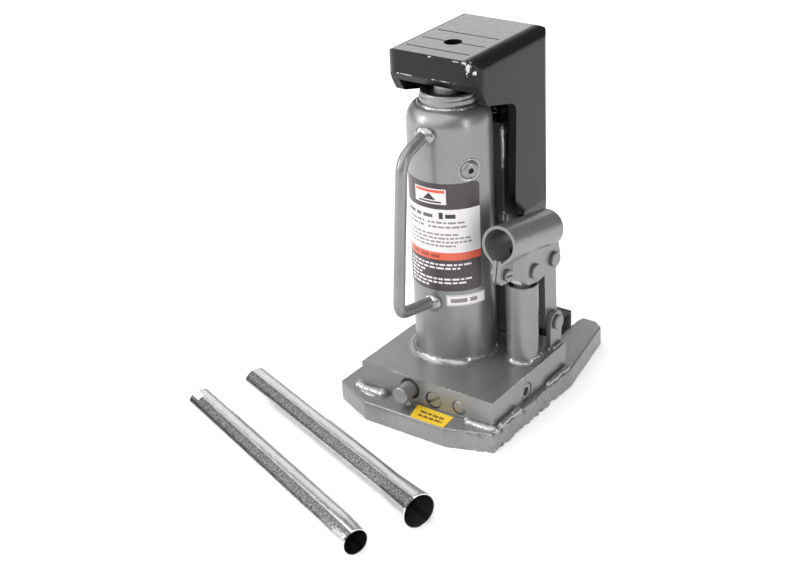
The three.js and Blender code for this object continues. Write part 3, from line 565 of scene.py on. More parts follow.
def filled(outline: np.ndarray, up: bool) -> tuple[np.ndarray, list[list[int]]]:
    """Triangles inside a closed flat outline, facing up or down."""
    border = [list(range(len(outline)))]
    fill = delaunay_2d_cdt([Vector(p) for p in outline], [], border, 1, 1e-5)
    points = np.array([p[:] for p in fill[0]])
    faces = np.array(fill[2])
    a, b, c = (points[faces[:, k]] for k in range(3))
    u, v = b - a, c - a
    wrong = (u[:, 0] * v[:, 1] - u[:, 1] * v[:, 0] > 0) != up
    faces[wrong] = faces[wrong][:, ::-1]
    return points, faces.tolist()


def vertices(mesh: bpy.types.Mesh) -> np.ndarray:
    """A mesh's vertices, one row each."""
    points = np.zeros(len(mesh.vertices) * 3)
    mesh.vertices.foreach_get("co", points)
    return points.reshape(-1, 3)


def top_outline(node: str) -> np.ndarray:
    """The longest closed outline of a CAD node's top face, with its first point repeated."""
    mesh = bpy.data.objects[node].data
    points = vertices(mesh) / MM
    _, same = np.unique(np.round(points, 3), axis=0, return_inverse=True)
    same = same.ravel()
    place = np.zeros((same.max() + 1, 3))
    place[same] = points
    top = place[:, 2].max() - LEVEL
    rim = {}
    for face in mesh.polygons:
        corners = [int(same[v]) for v in face.vertices]
        if min(place[c, 2] for c in corners) < top:
            continue
        for start, end in zip(corners, corners[1:] + corners[:1]):
            if rim.pop((end, start), None) is None:
                rim[(start, end)] = True
    after = {start: end for start, end in rim}
    loops = []
    while after:
        start, here = after.popitem()
        loop = [start]
        while here != start and here in after:
            loop.append(here)
            here = after.pop(here)
        loops.append(place[loop + [start]])
    return max(loops, key=lambda loop: travelled(loop)[-1])


MERGE = 2e-6  # metres between vertices that are one
FLAT_DEG = 1.2  # faces that meet at less than this are one
BEND_DEG = 6.0  # shallowest edge of a bend
CRISP_DEG = 38.0  # edges of a refined copy sharper than this stay sharp
WANDER = 0.4  # share of the roughness that a corner wanders for a noise of one
WANDER_SCALE = 9.0


def refined(node: str, width: float, segments: int, sharp_deg: float = 28.0,
            roughen: float = 0.0, bend: float = 0.0) -> bpy.types.Object:
    """A copy of a CAD node with merged flat faces and rolled edges.

    Args:
        node: the CAD node.
        width: width of a rolled edge.
        segments: faces across a rolled edge.
        sharp_deg: edges sharper than this are rolled.
        roughen: how far the corners wander.
        bend: how far the shallow edges of a bend are rounded.

    Returns:
        The new object. Its "edge" attribute is 1 on the rolled faces.
    """
    cage = bmesh.new()
    cage.from_mesh(bpy.data.objects[node].data)
    bmesh.ops.remove_doubles(cage, verts=cage.verts, dist=MERGE)
    bmesh.ops.dissolve_limit(cage, angle_limit=math.radians(FLAT_DEG), verts=cage.verts,
                             edges=cage.edges)

    def roll(low_deg: float, high_deg: float, offset: float, count: int) -> list:
        low, high = math.radians(low_deg), math.radians(high_deg)
        edges = [edge for edge in cage.edges
                 if len(edge.link_faces) == 2 and low < edge.calc_face_angle(0.0) <= high]
        made = bmesh.ops.bevel(cage, geom=edges, offset=offset * MM, offset_type="OFFSET",
                               segments=count, profile=0.5, affect="EDGES", clamp_overlap=True)
        return made["faces"]

    if bend:
        roll(BEND_DEG, sharp_deg, bend, 3)
    faces = roll(sharp_deg, 180.0, width, segments)
    cage.faces.index_update()
    rolled = [face.index for face in faces]
    mesh = bpy.data.meshes.new(node + "_body")
    cage.to_mesh(mesh)
    cage.free()
    mask = np.zeros(len(mesh.polygons), np.float32)
    mask[rolled] = 1.0
    mesh.attributes.new("edge", "FLOAT", "FACE").data.foreach_set("value", mask)
    if roughen:
        points = vertices(mesh)
        shift = [smooth_noise(points / MM, WANDER_SCALE, seed) for seed in (3, 4, 5)]
        shift = np.stack(shift, axis=1) * roughen * MM * WANDER
        points = np.clip(points + shift, points.min(axis=0), points.max(axis=0))
        mesh.vertices.foreach_set("co", points.ravel())
    soften(mesh, CRISP_DEG)
    piece = linked(node + "_body", mesh)
    piece.modifiers.new("normals", "WEIGHTED_NORMAL").keep_sharp = True
    return piece


def dress(piece: bpy.types.Object, slot: Slot, replaced: Sequence[str] = (),
          finish: Optional[Special] = None) -> None:
    """Paints a piece with its slot's material, or a special finish in its place, and hides the CAD
    nodes that it replaces.
    """
    piece.data.materials.append(paint(finish or slot))
    if replaced:
        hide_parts(*replaced)


@dataclass(frozen=True)
class Body:
    """A CAD body, on which the pieces that it owns ride."""

    name: str

    def own(self, piece: bpy.types.Object, slot: Slot, *replaced: str,
            finish: Optional[Special] = None) -> None:
        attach(piece, self.name)
        dress(piece, slot, replaced, finish)

    def turn(self, slot: Slot, replaced: str, name: str, profile: np.ndarray, **shape) -> None:
        """Owns a turned piece in place of a CAD node."""
        self.own(turned(name, profile, **shape), slot, replaced)

    def refine(self, slot: Slot, nodes: str, *shape: float, **more: float) -> None:
        """Owns a refined copy of each CAD node named."""
        for node in nodes.split():
            self.own(refined(node, *shape, **more), slot, node)

    def weld(self, piece: bpy.types.Object) -> None:
        self.own(piece, Slot.GREY, finish=Special.WELD)


JACK_BASE = Body("jack_base")
LIFTING_FRAME = Body("lifting_frame")


# ---------------------------------------------------------------- weld beads

BEAD_STEP = 0.45
BEAD_SIDES = 15
BEAD_SUNK = 0.12 * np.pi  # how far a bead's section runs on below its corner


@dataclass(frozen=True)
class Bead:
    """A weld bead laid along a path.

    Attributes:
        path: points on the corner that the bead fills.
        up: direction in which the bead stands proud.
        width, height: half width and height.
        pitch: distance between its ripples.
        seed: seed of its unevenness.
        closed: whether the path is a ring.
        radial: whether the bead of a ring leans outwards.
    """

    name: str
    path: Sequence[Sequence[float]]
    up: Sequence[float]
    width: float
    height: float
    pitch: float
    seed: int
    closed: bool = False
    radial: bool = False

    def build(self) -> bpy.types.Object:
        path = resample(self.path, BEAD_STEP)
        if self.closed:
            path = path[:-1]
            tangent = unit(np.roll(path, -1, axis=0) - np.roll(path, 1, axis=0))
        else:
            tangent = unit(np.gradient(path, axis=0))
        rows = len(path)
        up = np.tile(np.asarray(self.up, float), (rows, 1))
        if self.radial:
            up = up + unit(path - path.mean(axis=0))
        up = unit(up)
        side = unit(np.cross(tangent, up))
        around = np.linspace(-BEAD_SUNK, np.pi + BEAD_SUNK, BEAD_SIDES)
        along = np.arange(rows) * BEAD_STEP
        drift = smooth_noise(path, 13.0, self.seed)
        swell = 1 + 0.16 * drift + 0.05 * smooth_noise(path, 6.0, self.seed + 9)
        if not self.closed:
            ends = np.minimum(along, along[::-1]) / (1.3 * self.width)
            swell = swell * np.sqrt(np.clip(ends * (2 - ends), 0.02, 1) * (ends < 1) + (ends >= 1))
        lag = 1.6 * np.sin(around)
        ripple = np.sin(2 * np.pi * (along[:, None] + lag) / self.pitch + 1.7 * drift[:, None])
        size = swell[:, None] * (1 + 0.022 * ripple)
        points = (
            path[:, None]
            + (self.width * size * np.cos(around))[..., None] * side[:, None]
            + (self.height * size * np.sin(around))[..., None] * up[:, None]
        ).reshape(-1, 3)
        lumps = 0.09 * smooth_noise(points, 6.5, self.seed + 5)
        points = points + lumps[:, None] * np.repeat(up, BEAD_SIDES, axis=0)
        faces = grid_faces(rows, BEAD_SIDES, wrap_rows=self.closed)
        if not self.closed:
            faces = capped(faces, BEAD_SIDES, len(points), flip=True)
        return add_mesh(self.name, points, faces, 80.0)


def fillet(name: str, centre: Sequence[float], radius: float, width: float, height: float,
           seed: int) -> bpy.types.Object:
    """A hollow weld fillet round the foot of an upright tube."""

    def ripple(points: np.ndarray) -> np.ndarray:
        return (0.30 * smooth_noise(points, 11.0, seed)
                + 0.10 * smooth_noise(points, 4.5, seed + 1))

    t = np.linspace(-0.12, np.pi / 2 + 0.1, 22)
    profile = np.stack([radius + width - width * np.cos(t), height - height * np.sin(t)], axis=1)
    return turned(name, profile, centre, UP, 240, ripple, 80.0)


def blob(name: str, centre: Sequence[float], size: Sequence[float], seed: int) -> bpy.types.Object:
    """A lump of weld metal: a ball of uneven radius, stretched along the axes."""
    rows, columns, pole = 26, 36, 0.02
    polar = np.linspace(pole, np.pi - pole, rows)
    turn = np.linspace(0, 2 * np.pi, columns, endpoint=False)
    p, t = np.meshgrid(polar, turn, indexing="ij")
    ball = np.stack([np.sin(p) * np.cos(t), np.sin(p) * np.sin(t), np.cos(p)], axis=-1)
    points = ball.reshape(-1, 3) * np.asarray(size, float)
    lumps = 0.09 * smooth_noise(points, 8.0, seed) + 0.015 * smooth_noise(points, 3.5, seed + 3)
    points = points * (1 + lumps)[:, None]
    faces = capped(grid_faces(rows, columns, wrap_columns=True), columns, len(points))
    return add_mesh(name, points + np.asarray(centre, float), faces, 80.0)


# ---------------------------------------------------------------- tank, nut, ram, carrying handle


@dataclass(frozen=True)
class Tank:
    """The oil tank with its nut, the ram above it, its filler plug and its carrying handle."""

    radius: float = 28.5
    bottom: float = 35.0
    shoulder: float = 204.0
    top: float = 216.5
    neck: float = 19.8
    nut_radius: float = 19.2
    nut_top: float = 224.8
    ram_radius: float = 9.5
    ram_top: float = 247.5
    filler_angle: float = math.radians(-30.0)
    filler_height: float = 177.3

    def shell(self) -> None:
        """The tank's wall: a straight side, an elliptic shoulder and a short collar at the neck."""
        arc = np.linspace(0, np.pi / 2, 22)
        shoulder = np.stack([
            self.neck + (self.radius - self.neck) * np.cos(arc),
            self.shoulder + (self.top - self.shoulder) * np.sin(arc),
        ], axis=1)
        side = upright(self.radius, self.bottom, self.shoulder - 0.5, 60)
        profile = np.concatenate([side, shoulder, [[18.0, self.top], [18.0, self.top - 1.2]]])
        JACK_BASE.turn(Slot.GREY, "reservoir_tank", "tank_skin", profile, sides=192,
                       ripple=uneven(0.05, 70.0, 21, 0.05))

    def nut(self) -> None:
        """The top nut, and the wiper between it and the ram."""
        r, low, top = self.nut_radius, self.top, self.nut_top
        profile = rounded([
            (17.4, low + 0.4), (r, low + 0.4, 0.5), (r, low + 4.6, 0.3), (r - 0.7, low + 5.1, 0.3),
            (r - 0.4, top - 1.1, 0.6), (r - 1.1, top, 0.5), (17.7, top - 0.1, 0.3),
            (17.3, top - 1.8, 0.3), (9.8, top - 4.6),
        ])
        JACK_BASE.turn(Slot.GREY, "top_nut", "tank_nut", profile, sides=144,
                       ripple=uneven(0.06, 9.0, 33, 0.08))
        seal = rounded([
            (17.3, top - 1.6), (17.1, top - 0.35, 0.5), (14.0, top - 0.5, 1.0),
            (12.4, top - 2.4, 0.8), (11.0, top - 0.9, 0.6), (9.75, top - 1.2, 0.4),
            (9.6, top - 4.4),
        ])
        JACK_BASE.turn(Slot.RUBBER, "wiper_ring", "ram_wiper", seal)

    def ram(self) -> None:
        r, top = self.ram_radius - 0.02, self.ram_top
        side = upright(r, 47.5, top - 1.0, 40)
        profile = np.concatenate([[[0, 46.9], [r, 46.9]], side, [[r - 0.8, top - 0.1],
                                                                 [0, top - 0.1]]])
        LIFTING_FRAME.turn(Slot.STEEL, "ram", "ram_rod", profile)

    def filler(self) -> None:
        """The filler plug, a black lining of painted shade in its vent, and the rim round it."""
        a, r, height = self.filler_angle, self.radius, self.filler_height
        out = (math.cos(a), math.sin(a), 0.0)
        origin = (0.0, 0.0, height)
        profile = rounded([
            (0, r + 0.7), (1.6, r + 0.7), (1.85, r + 2.3, 0.3), (3.2, r + 2.55, 1.0),
            (5.4, r + 2.1, 1.4), (6.6, r + 0.4, 0.6), (6.6, r - 0.6),
        ], 7)
        JACK_BASE.turn(Slot.GREY, "filler_plug", "filler_cap", profile, origin=origin, axis=out,
                       sides=72, ripple=uneven(0.05, 3.0, 41, 0.05))
        # A black lining in the plug's recess: painted shade of the vent hole.
        vent = np.array([[0, r + 0.8], [1.6, r + 0.8], [1.72, r + 1.9]])
        JACK_BASE.own(turned("filler_vent", vent, origin, out, 40), Slot.RUBBER,
                      finish=Special.HOLE)

    def grip(self) -> None:
        """The carrying handle: a bent rod in front of the tank."""
        flat = rounded([(29.4, 201.6), (54.4, 194.2, 11.0), (65.7, 87.9, 9.0), (29.4, 81.0)], 12)
        path = resample(np.stack([np.zeros(len(flat)), -flat[:, 0], flat[:, 1]], axis=1), 1.2)
        radius = np.full(len(path), 3.95) + 0.05 * smooth_noise(path, 14.0, 51)
        JACK_BASE.own(sweep("carry_rod", path, radius, 32), Slot.GREY, "carry_handle")

    def welds(self) -> None:
        """The welds at the neck, the foot and the handle, and the rim round the filler plug."""
        turn = np.linspace(0, 2 * np.pi, 91)
        neck, height = 19.4, np.full(91, 216.4)
        neck = np.stack([neck * np.cos(turn), neck * np.sin(turn), height], axis=1)
        JACK_BASE.weld(Bead("neck_weld", neck, UP, 2.0, 1.5, 3.4, 5, True, True).build())
        turn = np.linspace(0, 2 * np.pi, 61)
        a, rim, r = self.filler_angle, 7.3, self.radius + 0.1
        arc = a + rim * np.cos(turn) / self.radius
        height = self.filler_height + rim * np.sin(turn)
        rim = np.stack([r * np.cos(arc), r * np.sin(arc), height], axis=1)
        out = (math.cos(a), math.sin(a), 0)
        JACK_BASE.weld(Bead("filler_rim", rim, out, 0.8, 0.32, 4.0, 6, True).build())
        JACK_BASE.weld(fillet("tank_foot_weld", (0, 0, 34.75), 28.35, 4.8, 4.4, 3))
        JACK_BASE.weld(blob("grip_weld_upper", (0.9, -29.6, 201.6), (7.4, 3.0, 6.6), 7))
        JACK_BASE.weld(blob("grip_weld_lower", (1.6, -29.5, 80.6), (7.0, 3.0, 6.2), 8))

    def build(self) -> None:
        for step in (self.shell, self.nut, self.ram, self.filler, self.grip, self.welds):
            step()


# ---------------------------------------------------------------- printed films

INK = {
    "white": (0.86, 0.83, 0.86),
    "dark": (0.05, 0.036, 0.04),
    "black": (0.02, 0.018, 0.02),
    "red": (0.78, 0.1, 0.045),
    "orange": (0.80, 0.125, 0.055),
    "maroon": (0.36, 0.05, 0.03),
    "grey": (0.12, 0.1, 0.11),
    "dim": (0.26, 0.23, 0.25),
    "yellow": (0.9, 0.58, 0.012),
    "brown": (0.2, 0.12, 0.01),
}
WORD_LENGTHS = (1.3, 4.2)  # shares of the height of a line
WORD_GAP = 0.7
INK_LIFT = 0.012
FILM_LIFT = 0.2
HEM_LIFT = 0.02


@dataclass(frozen=True)
class Patch:
    """A rectangle of ink: its left, right, bottom and top on the film, its ink and its layer."""

    left: float
    right: float
    bottom: float
    top: float
    ink: str
    layer: int = 0


@dataclass
class Print:
    """Ink on a film: patches in layers, each layer a hair above the last."""

    patches: list[Patch] = field(default_factory=list)
    random: np.random.Generator = field(default_factory=lambda: np.random.default_rng(17))

    def block(self, *patch) -> None:
        self.patches.append(Patch(*patch))

    def words(self, left: float, right: float, middle: float, height: float, ink: str) -> None:
        """A line of word-long bars in place of lettering."""
        at = left
        while at < right - height:
            length = min(height * self.random.uniform(*WORD_LENGTHS), right - at)
            self.block(at, at + length, middle - height / 2, middle + height / 2, ink, 1)
            at += length + height * WORD_GAP

    def lay(self, name: str, place: Callable, step: float) -> bpy.types.Object:
        """Makes the patches as one mesh.

        Args:
            name: the piece's name.
            place: turns film coordinates and a lift into points.
            step: widest column of a patch, so that it follows a curved wall.

        Returns:
            The new object.
        """
        points, faces, inks, count = [], [], [], 0
        for patch in self.patches:
            columns = max(2, int(math.ceil((patch.right - patch.left) / step)) + 1)
            across = np.tile(np.linspace(patch.left, patch.right, columns), 2)
            up = np.repeat([patch.bottom, patch.top], columns)
            points.append(place(across, up, INK_LIFT + INK_LIFT * patch.layer))
            faces.append(grid_faces(2, columns) + count)
            inks.append(np.tile(INK[patch.ink], (2 * columns, 1)))
            count += 2 * columns
        points, faces, inks = (np.concatenate(part) for part in (points, faces, inks))
        return add_mesh(name, points, faces, 60.0, ink=inks)


@dataclass(frozen=True)
class Films:
    """The label and the strip on the tank, and the tag on the base plate.

    Attributes:
        radius: of the tank.
        label, strip: left and right angles in degrees, and bottom and top heights.
        tag_corners: of the tag on the plate, in order round it.
    """

    radius: float = 28.5
    label: tuple[float, ...] = (-164.5, -16.0, 90.7, 168.8)
    strip: tuple[float, ...] = (-67.4, -11.2, 79.5, 87.6)
    tag_corners: tuple = ((5.0, -56.2), (35.0, -57.2), (36.4, -71.6), (9.0, -71.6))

    def arc(self, degrees: float) -> float:
        """Distance round the tank from the angle -90 degrees."""
        return math.radians(degrees + 90.0) * self.radius

    def wrap(self, across: np.ndarray, up: np.ndarray, lift) -> np.ndarray:
        """Points at distances round the tank, at heights, and lifted off its wall."""
        angle = math.radians(-90.0) + across / self.radius
        r = self.radius + lift
        return np.stack([r * np.cos(angle), r * np.sin(angle), up], axis=1)

    def on_film(self, across: np.ndarray, up: np.ndarray, lift: float) -> np.ndarray:
        return self.wrap(across, up, FILM_LIFT + lift)

    def film(self, name: str, edges: Sequence[float], corner: float,
             bands: Sequence[tuple[float, str]]) -> bpy.types.Object:
        """A rounded rectangle of film on the tank's wall, printed in level bands.

        Args:
            name: the piece's name.
            edges: its left and right angles and its bottom and top heights.
            corner: radius of its corners.
            bands: the top height of each band from the bottom up, and its ink.

        Returns:
            The new object.
        """
        left, right = self.arc(edges[0]), self.arc(edges[1])
        bend = corner * (1 - np.cos(np.linspace(0, np.pi / 2, 9)))
        columns = np.concatenate([np.linspace(left, right, 110), left + bend, right - bend])
        columns = np.unique(columns)
        inside = np.clip(np.minimum(columns - left, right - columns) / corner, 0, 1)
        cut = corner * (1 - np.sqrt(1 - (1 - inside) ** 2))
        foot, crown = edges[2] + cut, edges[3] - cut
        rows, lifts, inks = [foot], [HEM_LIFT], [bands[0][1]]
        low = foot
        for top, ink in bands:
            high = crown if top == bands[-1][0] else np.full(len(columns), top)
            rows += [low, high]
            lifts += [FILM_LIFT] * 2
            inks += [ink, ink]
            low = high
        rows, lifts, inks = rows + [crown], lifts + [HEM_LIFT], inks + [bands[-1][1]]
        count = len(columns)
        points = self.wrap(np.tile(columns, len(rows)), np.concatenate(rows),
                           np.repeat(lifts, count))
        return add_mesh(name, points, grid_faces(len(rows), count), 30.0,
                        ink=np.repeat([INK[ink] for ink in inks], count, axis=0))

    def label_print(self) -> Print:
        """A plain lifting mark in a box, and bars in place of the label's text."""
        page = Print()

        def words(left: float, right: float, *line) -> None:
            page.words(self.arc(left), self.arc(right), *line)

        left, right = self.arc(-111.0), self.arc(-63.0)
        page.block(left, right, 154.3, 165.2, "white")
        page.block(left + 0.9, right - 0.9, 162.4, 164.4, "red", 1)
        middle = (left + right) / 2
        for step in range(9):
            half, low = 4.6 * (1 - step / 9), 157.2 + step * 0.5
            page.block(middle - half, middle + half, low, low + 0.52, "black", 1)
        page.block(middle - 8.6, middle + 8.6, 155.2, 156.4, "black", 1)
        words(-132.0, -79.0, 145.7, 2.5, "grey")
        page.block(self.arc(-73.5), self.arc(-68.0), 144.0, 148.6, "black", 1)
        words(-65.0, -44.0, 145.9, 2.9, "black")
        for height in (141.2, 138.0):
            words(-132.0, -96.0, height, 1.3, "grey")
            words(-90.0, -37.0, height, 1.3, "dim")
        for row, end in enumerate((-46.0, -28.0, -30.0, -52.0)):
            words(-132.0, end, 132.6 - 2.75 * row, 1.2, "dim")
        words(-122.0, -74.0, 116.6, 2.1, "maroon")
        for row, end in enumerate((-30.0, -47.0, -96.0, -104.0, -27.0, -36.0, -92.0)):
            words(-128.0, end, 110.4 - 2.7 * row, 1.35, "white")
        return page

    def strip_print(self) -> Print:
        """A thin border and a few bars."""
        page = Print()
        left, right = self.arc(self.strip[0]), self.arc(self.strip[1])
        for low, high in ((79.9, 80.15), (86.9, 87.15)):
            page.block(left + 0.4, right - 0.4, low, high, "grey")
        for low, high in ((left + 0.4, left + 0.65), (right - 0.65, right - 0.4)):
            page.block(low, high, 79.9, 87.15, "grey")
        page.words(left + 3.0, right - 3.0, 83.5, 3.0, "dim")
        return page

    def on_tag(self, u: np.ndarray, v: np.ndarray, lift: float) -> np.ndarray:
        """Points of the tag, which curls a little off the plate."""
        a, b, c, d = (np.array(corner) for corner in self.tag_corners)
        top = a * (1 - u[:, None]) + b * u[:, None]
        low = d * (1 - u[:, None]) + c * u[:, None]
        curl = 0.35 * (u - 0.4) ** 2 + 0.05 * np.sin(5 * u + 3 * v)
        return np.column_stack([top * (1 - v[:, None]) + low * v[:, None], 15.2 + curl + lift])

    def tag(self) -> None:
        """The yellow tag, with bars in place of its text."""
        u, v = np.meshgrid(np.linspace(0, 1, 30), np.linspace(0, 1, 16), indexing="ij")
        points = self.on_tag(u.ravel(), v.ravel(), 0.0)
        sheet = add_mesh("tag_film_sheet", points, grid_faces(30, 16)[:, ::-1], 30.0,
                         ink=np.tile(INK["yellow"], (len(points), 1)))
        JACK_BASE.own(sheet, Slot.TAG, "valve_tag")
        page = Print()
        for middle in (0.62, 0.33):
            at = 0.17
            while at < 0.84:
                length = float(page.random.uniform(0.09, 0.2))
                page.block(at, min(at + length, 0.86), middle - 0.085, middle + 0.085, "brown")
                at += length + 0.03
        bars = page.lay("tag_print", lambda u, v, lift: self.on_tag(u, 1 - v, 0.03 + lift), 0.03)
        JACK_BASE.own(bars, Slot.TAG)

    def build(self) -> None:
        bands = [(113.8, "dark"), (119.4, "orange"), (150.8, "white"), (168.8, "dark")]
        for name, edges, corner, inks, page, node in (
            ("label", self.label, 3.2, bands, self.label_print(), "tank_label"),
            ("strip", self.strip, 0.5, [(87.6, "white")], self.strip_print(), "part_label"),
        ):
            JACK_BASE.own(self.film(name + "_film", edges, corner, inks), Slot.LABEL, node)
            JACK_BASE.own(page.lay(name + "_print", self.on_film, 0.8), Slot.LABEL)
        self.tag()


# ---------------------------------------------------------------- base


@dataclass(frozen=True)
class Base:
    """The base plate, the pump block, what is screwed into it and the welds round it."""

    plate_top: float = 15.0
    block_top: float = 34.7
    left: float = -42.5
    front: float = 55.0
    rear: float = 40.5

    def plate(self) -> None:
        """The flame-cut base plate: its outline is the CAD plate's own, with a ragged wall."""
        loop = resample(top_outline("base_plate"), 0.7)[:-1, :2]
        along = unit(np.roll(loop, -1, axis=0) - np.roll(loop, 1, axis=0))
        x, y = loop.T
        area = 0.5 * np.sum(x * np.roll(y, -1) - y * np.roll(x, -1))
        inward = np.stack([-along[:, 1], along[:, 0]], axis=1) * np.sign(area)
        depth = 0.22 + 1.15 * np.clip((x - 38) / 20, 0, 1) * np.clip((38 - y) / 25, 0, 1)
        top = self.plate_top
        steps = [(top, 1.5), (top - 0.06, 0.9), (top - 0.35, 0.4), (top - 0.9, 0.08),
                 *((height, 0.0) for height in (12.0, 10.0, 8.0, 6.0, 4.0, 2.2)),
                 (0.9, 0.05), (0.3, 0.3), (0.0, 0.8)]
        rings = []
        for height, inset in steps:
            at = np.column_stack([loop, np.full(len(loop), height)])
            rough = 0.55 + 0.35 * smooth_noise(at, 8.0, 81) + 0.3 * smooth_noise(at, 3.0, 82)
            shift = inset + depth * np.clip(rough, 0, 1.6) * (1.0 if height > 0.5 else 1.2)
            rings.append(np.column_stack([loop + inward * shift[:, None], at[:, 2]]))
        faces = grid_faces(len(steps), len(loop), wrap_columns=True)
        faces = (faces if area < 0 else faces[:, ::-1]).tolist()
        points = np.concatenate(rings)
        for ring, faces_up in ((rings[0], True), (rings[-1], False)):
            flat, cap = filled(ring[:, :2], faces_up)
            faces += [[corner + len(points) for corner in face] for face in cap]
            flat = np.column_stack([flat, np.full(len(flat), ring[0, 2])])
            points = np.concatenate([points, flat])
        plate = add_mesh("base_plate_cut", points, faces, 38.0)
        JACK_BASE.own(plate, Slot.GREY, "base_plate", finish=Special.CUT_PLATE)

    def face(self) -> None:
        """What shows on the block's front face: the gallery plug, and black rings of painted shade
        in the holes round the release valve and the safety screw.
        """
        front = self.front
        cap = rounded([(0, front + 0.35), (1.2, front + 0.4, 0.4), (3.6, front + 0.2, 1.2),
                       (4.9, front - 0.55, 0.5), (4.9, front - 2.65)], 6)
        JACK_BASE.turn(Slot.GREY, "gallery_plug", "gallery_cap", cap, origin=(38.0, 0, 22.5),
                       axis=FORWARD, sides=60)
        # Black rings of painted shade, where the holes round the valve and the screw fall into
        # shadow.
        for name, x, z, inner, outer in (("valve_gap", -2.0, 25.4, 6.0, 8.1),
                                         ("screw_gap", 17.3, 22.0, 6.1, 6.6)):
            shade_ring = rounded([(inner, front - 0.6), (inner + 0.2, front + 0.04),
                           (outer - 0.2, front + 0.06, 0.1), (outer, front - 0.4)])
            JACK_BASE.own(turned(name, shade_ring, (x, 0, z), FORWARD, 60), Slot.RUBBER,
                          finish=Special.HOLE)

    def welds(self) -> None:
        """The beads on the plate, round the brackets and beside the guide rail."""
        z, top, left, rear = self.plate_top, self.block_top, self.left, self.rear
        beads = [
            ("weld_front_left", [(-49.5, -50.5, z), (-45.5, -55.6, z), (-38, -57.6, z),
                                 (-28, -57.4, z), (-19.5, -57.2, z)], (0, -0.4, 1), 3.6, 3.4, 3.4),
            ("weld_front_left_toe", [(-43, -58.8, z - 0.6), (-34, -61.2, z - 0.6),
                                     (-26, -61.4, z - 0.6)], (0, -0.2, 1), 3.0, 1.9, 3.8),
            ("weld_front_right", [(43, -56.6, z), (54, -57.0, z), (62, -57.2, z),
                                  (66.4, -56.2, z), (67.2, -51.5, z)], (0.2, -0.4, 1), 3.1, 3.0,
             3.2),
            ("weld_right_front", [(67.0, -52, z), (66.6, -40, z), (66.9, -31, z),
                                  (66.5, -24.5, z)], (0.4, 0, 1), 2.5, 3.2, 3.0),
            ("weld_right_rear", [(66.5, 10.5, z), (66.7, 22, z), (66.3, 31, z), (66.6, 40.8, z)],
             (0.4, 0, 1), 2.5, 3.4, 3.0),
            ("weld_left_side", [(left - 1.6, -28, z), (left - 1.8, -12, z), (left - 1.5, 6, z),
                                (left - 1.7, 24, z)], (-0.4, 0, 1), 2.8, 3.2, 3.1),
            ("weld_rear_left", [(-34, rear + 1.3, z), (-25, rear + 1.4, z)], (0, 0.3, 1), 2.6,
             3.0, 3.0),
            ("weld_rear_right", [(40, rear + 1.4, z), (58, rear + 1.5, z)], (0, 0.4, 1), 2.6, 3.2,
             3.0),
            None,
            ("bracket_weld_outer", [(61.9, 27, top), (62.0, 33, top), (61.9, 40, top)],
             (0.5, 0, 1), 1.5, 2.0, 2.2),
            ("bracket_weld_front", [(56.6, 25.6, top), (61.6, 25.6, top)], (0, -0.6, 1), 1.5, 1.9,
             2.0),
            ("bracket_weld_inner", [(37.9, 27, top), (37.8, 33, top), (37.9, 40, top)],
             (-0.5, 0, 1), 1.5, 2.0, 2.2),
            ("rail_weld_upper", [(20.4, 31.9, 192.3), (20.7, 31.8, 176), (20.4, 31.9, 160)],
             (0.45, -1, 0), 2.7, 1.7, 2.6),
            ("rail_weld_lower", [(20.4, 31.9, 129.5), (20.4, 31.9, 119.5)], (0.45, -1, 0), 2.7,
             1.8, 2.6),
            ("rail_weld_upper_left", [(-19.9, 31.0, 192.5), (-19.9, 31.0, 160)], (-0.5, -1, 0),
             1.9, 1.6, 2.1),
            ("rail_weld_lower_left", [(-19.9, 31.0, 129.5), (-19.9, 31.0, 120.5)], (-0.5, -1, 0),
             1.9, 1.7, 2.1),
        ]
        for seed, bead in enumerate(beads, 11):
            if bead:
                JACK_BASE.weld(Bead(*bead, seed).build())
        JACK_BASE.weld(fillet("pump_foot_weld", (49.75, 8.0, top + 0.05), 11.0, 3.6, 3.4, 19))
        JACK_BASE.weld(blob("weld_spatter", (44.6, -55.4, 15.4), (2.6, 1.9, 2.2), 27))

    def build(self) -> None:
        self.plate()
        JACK_BASE.refine(Slot.GREY, "pump_block", 0.6, 3, roughen=0.12)
        JACK_BASE.refine(Slot.GREY, "guide_rail guide_plate link_bracket_outer link_bracket_inner",
                         0.45, 2, roughen=0.1)
        JACK_BASE.refine(Slot.STEEL, "spring_foot", 0.3, 2)
        JACK_BASE.refine(Slot.GREY, "outlet_plug safety_valve_screw", 0.25, 2)
        self.face()
        self.welds()


# ---------------------------------------------------------------- lifting frame


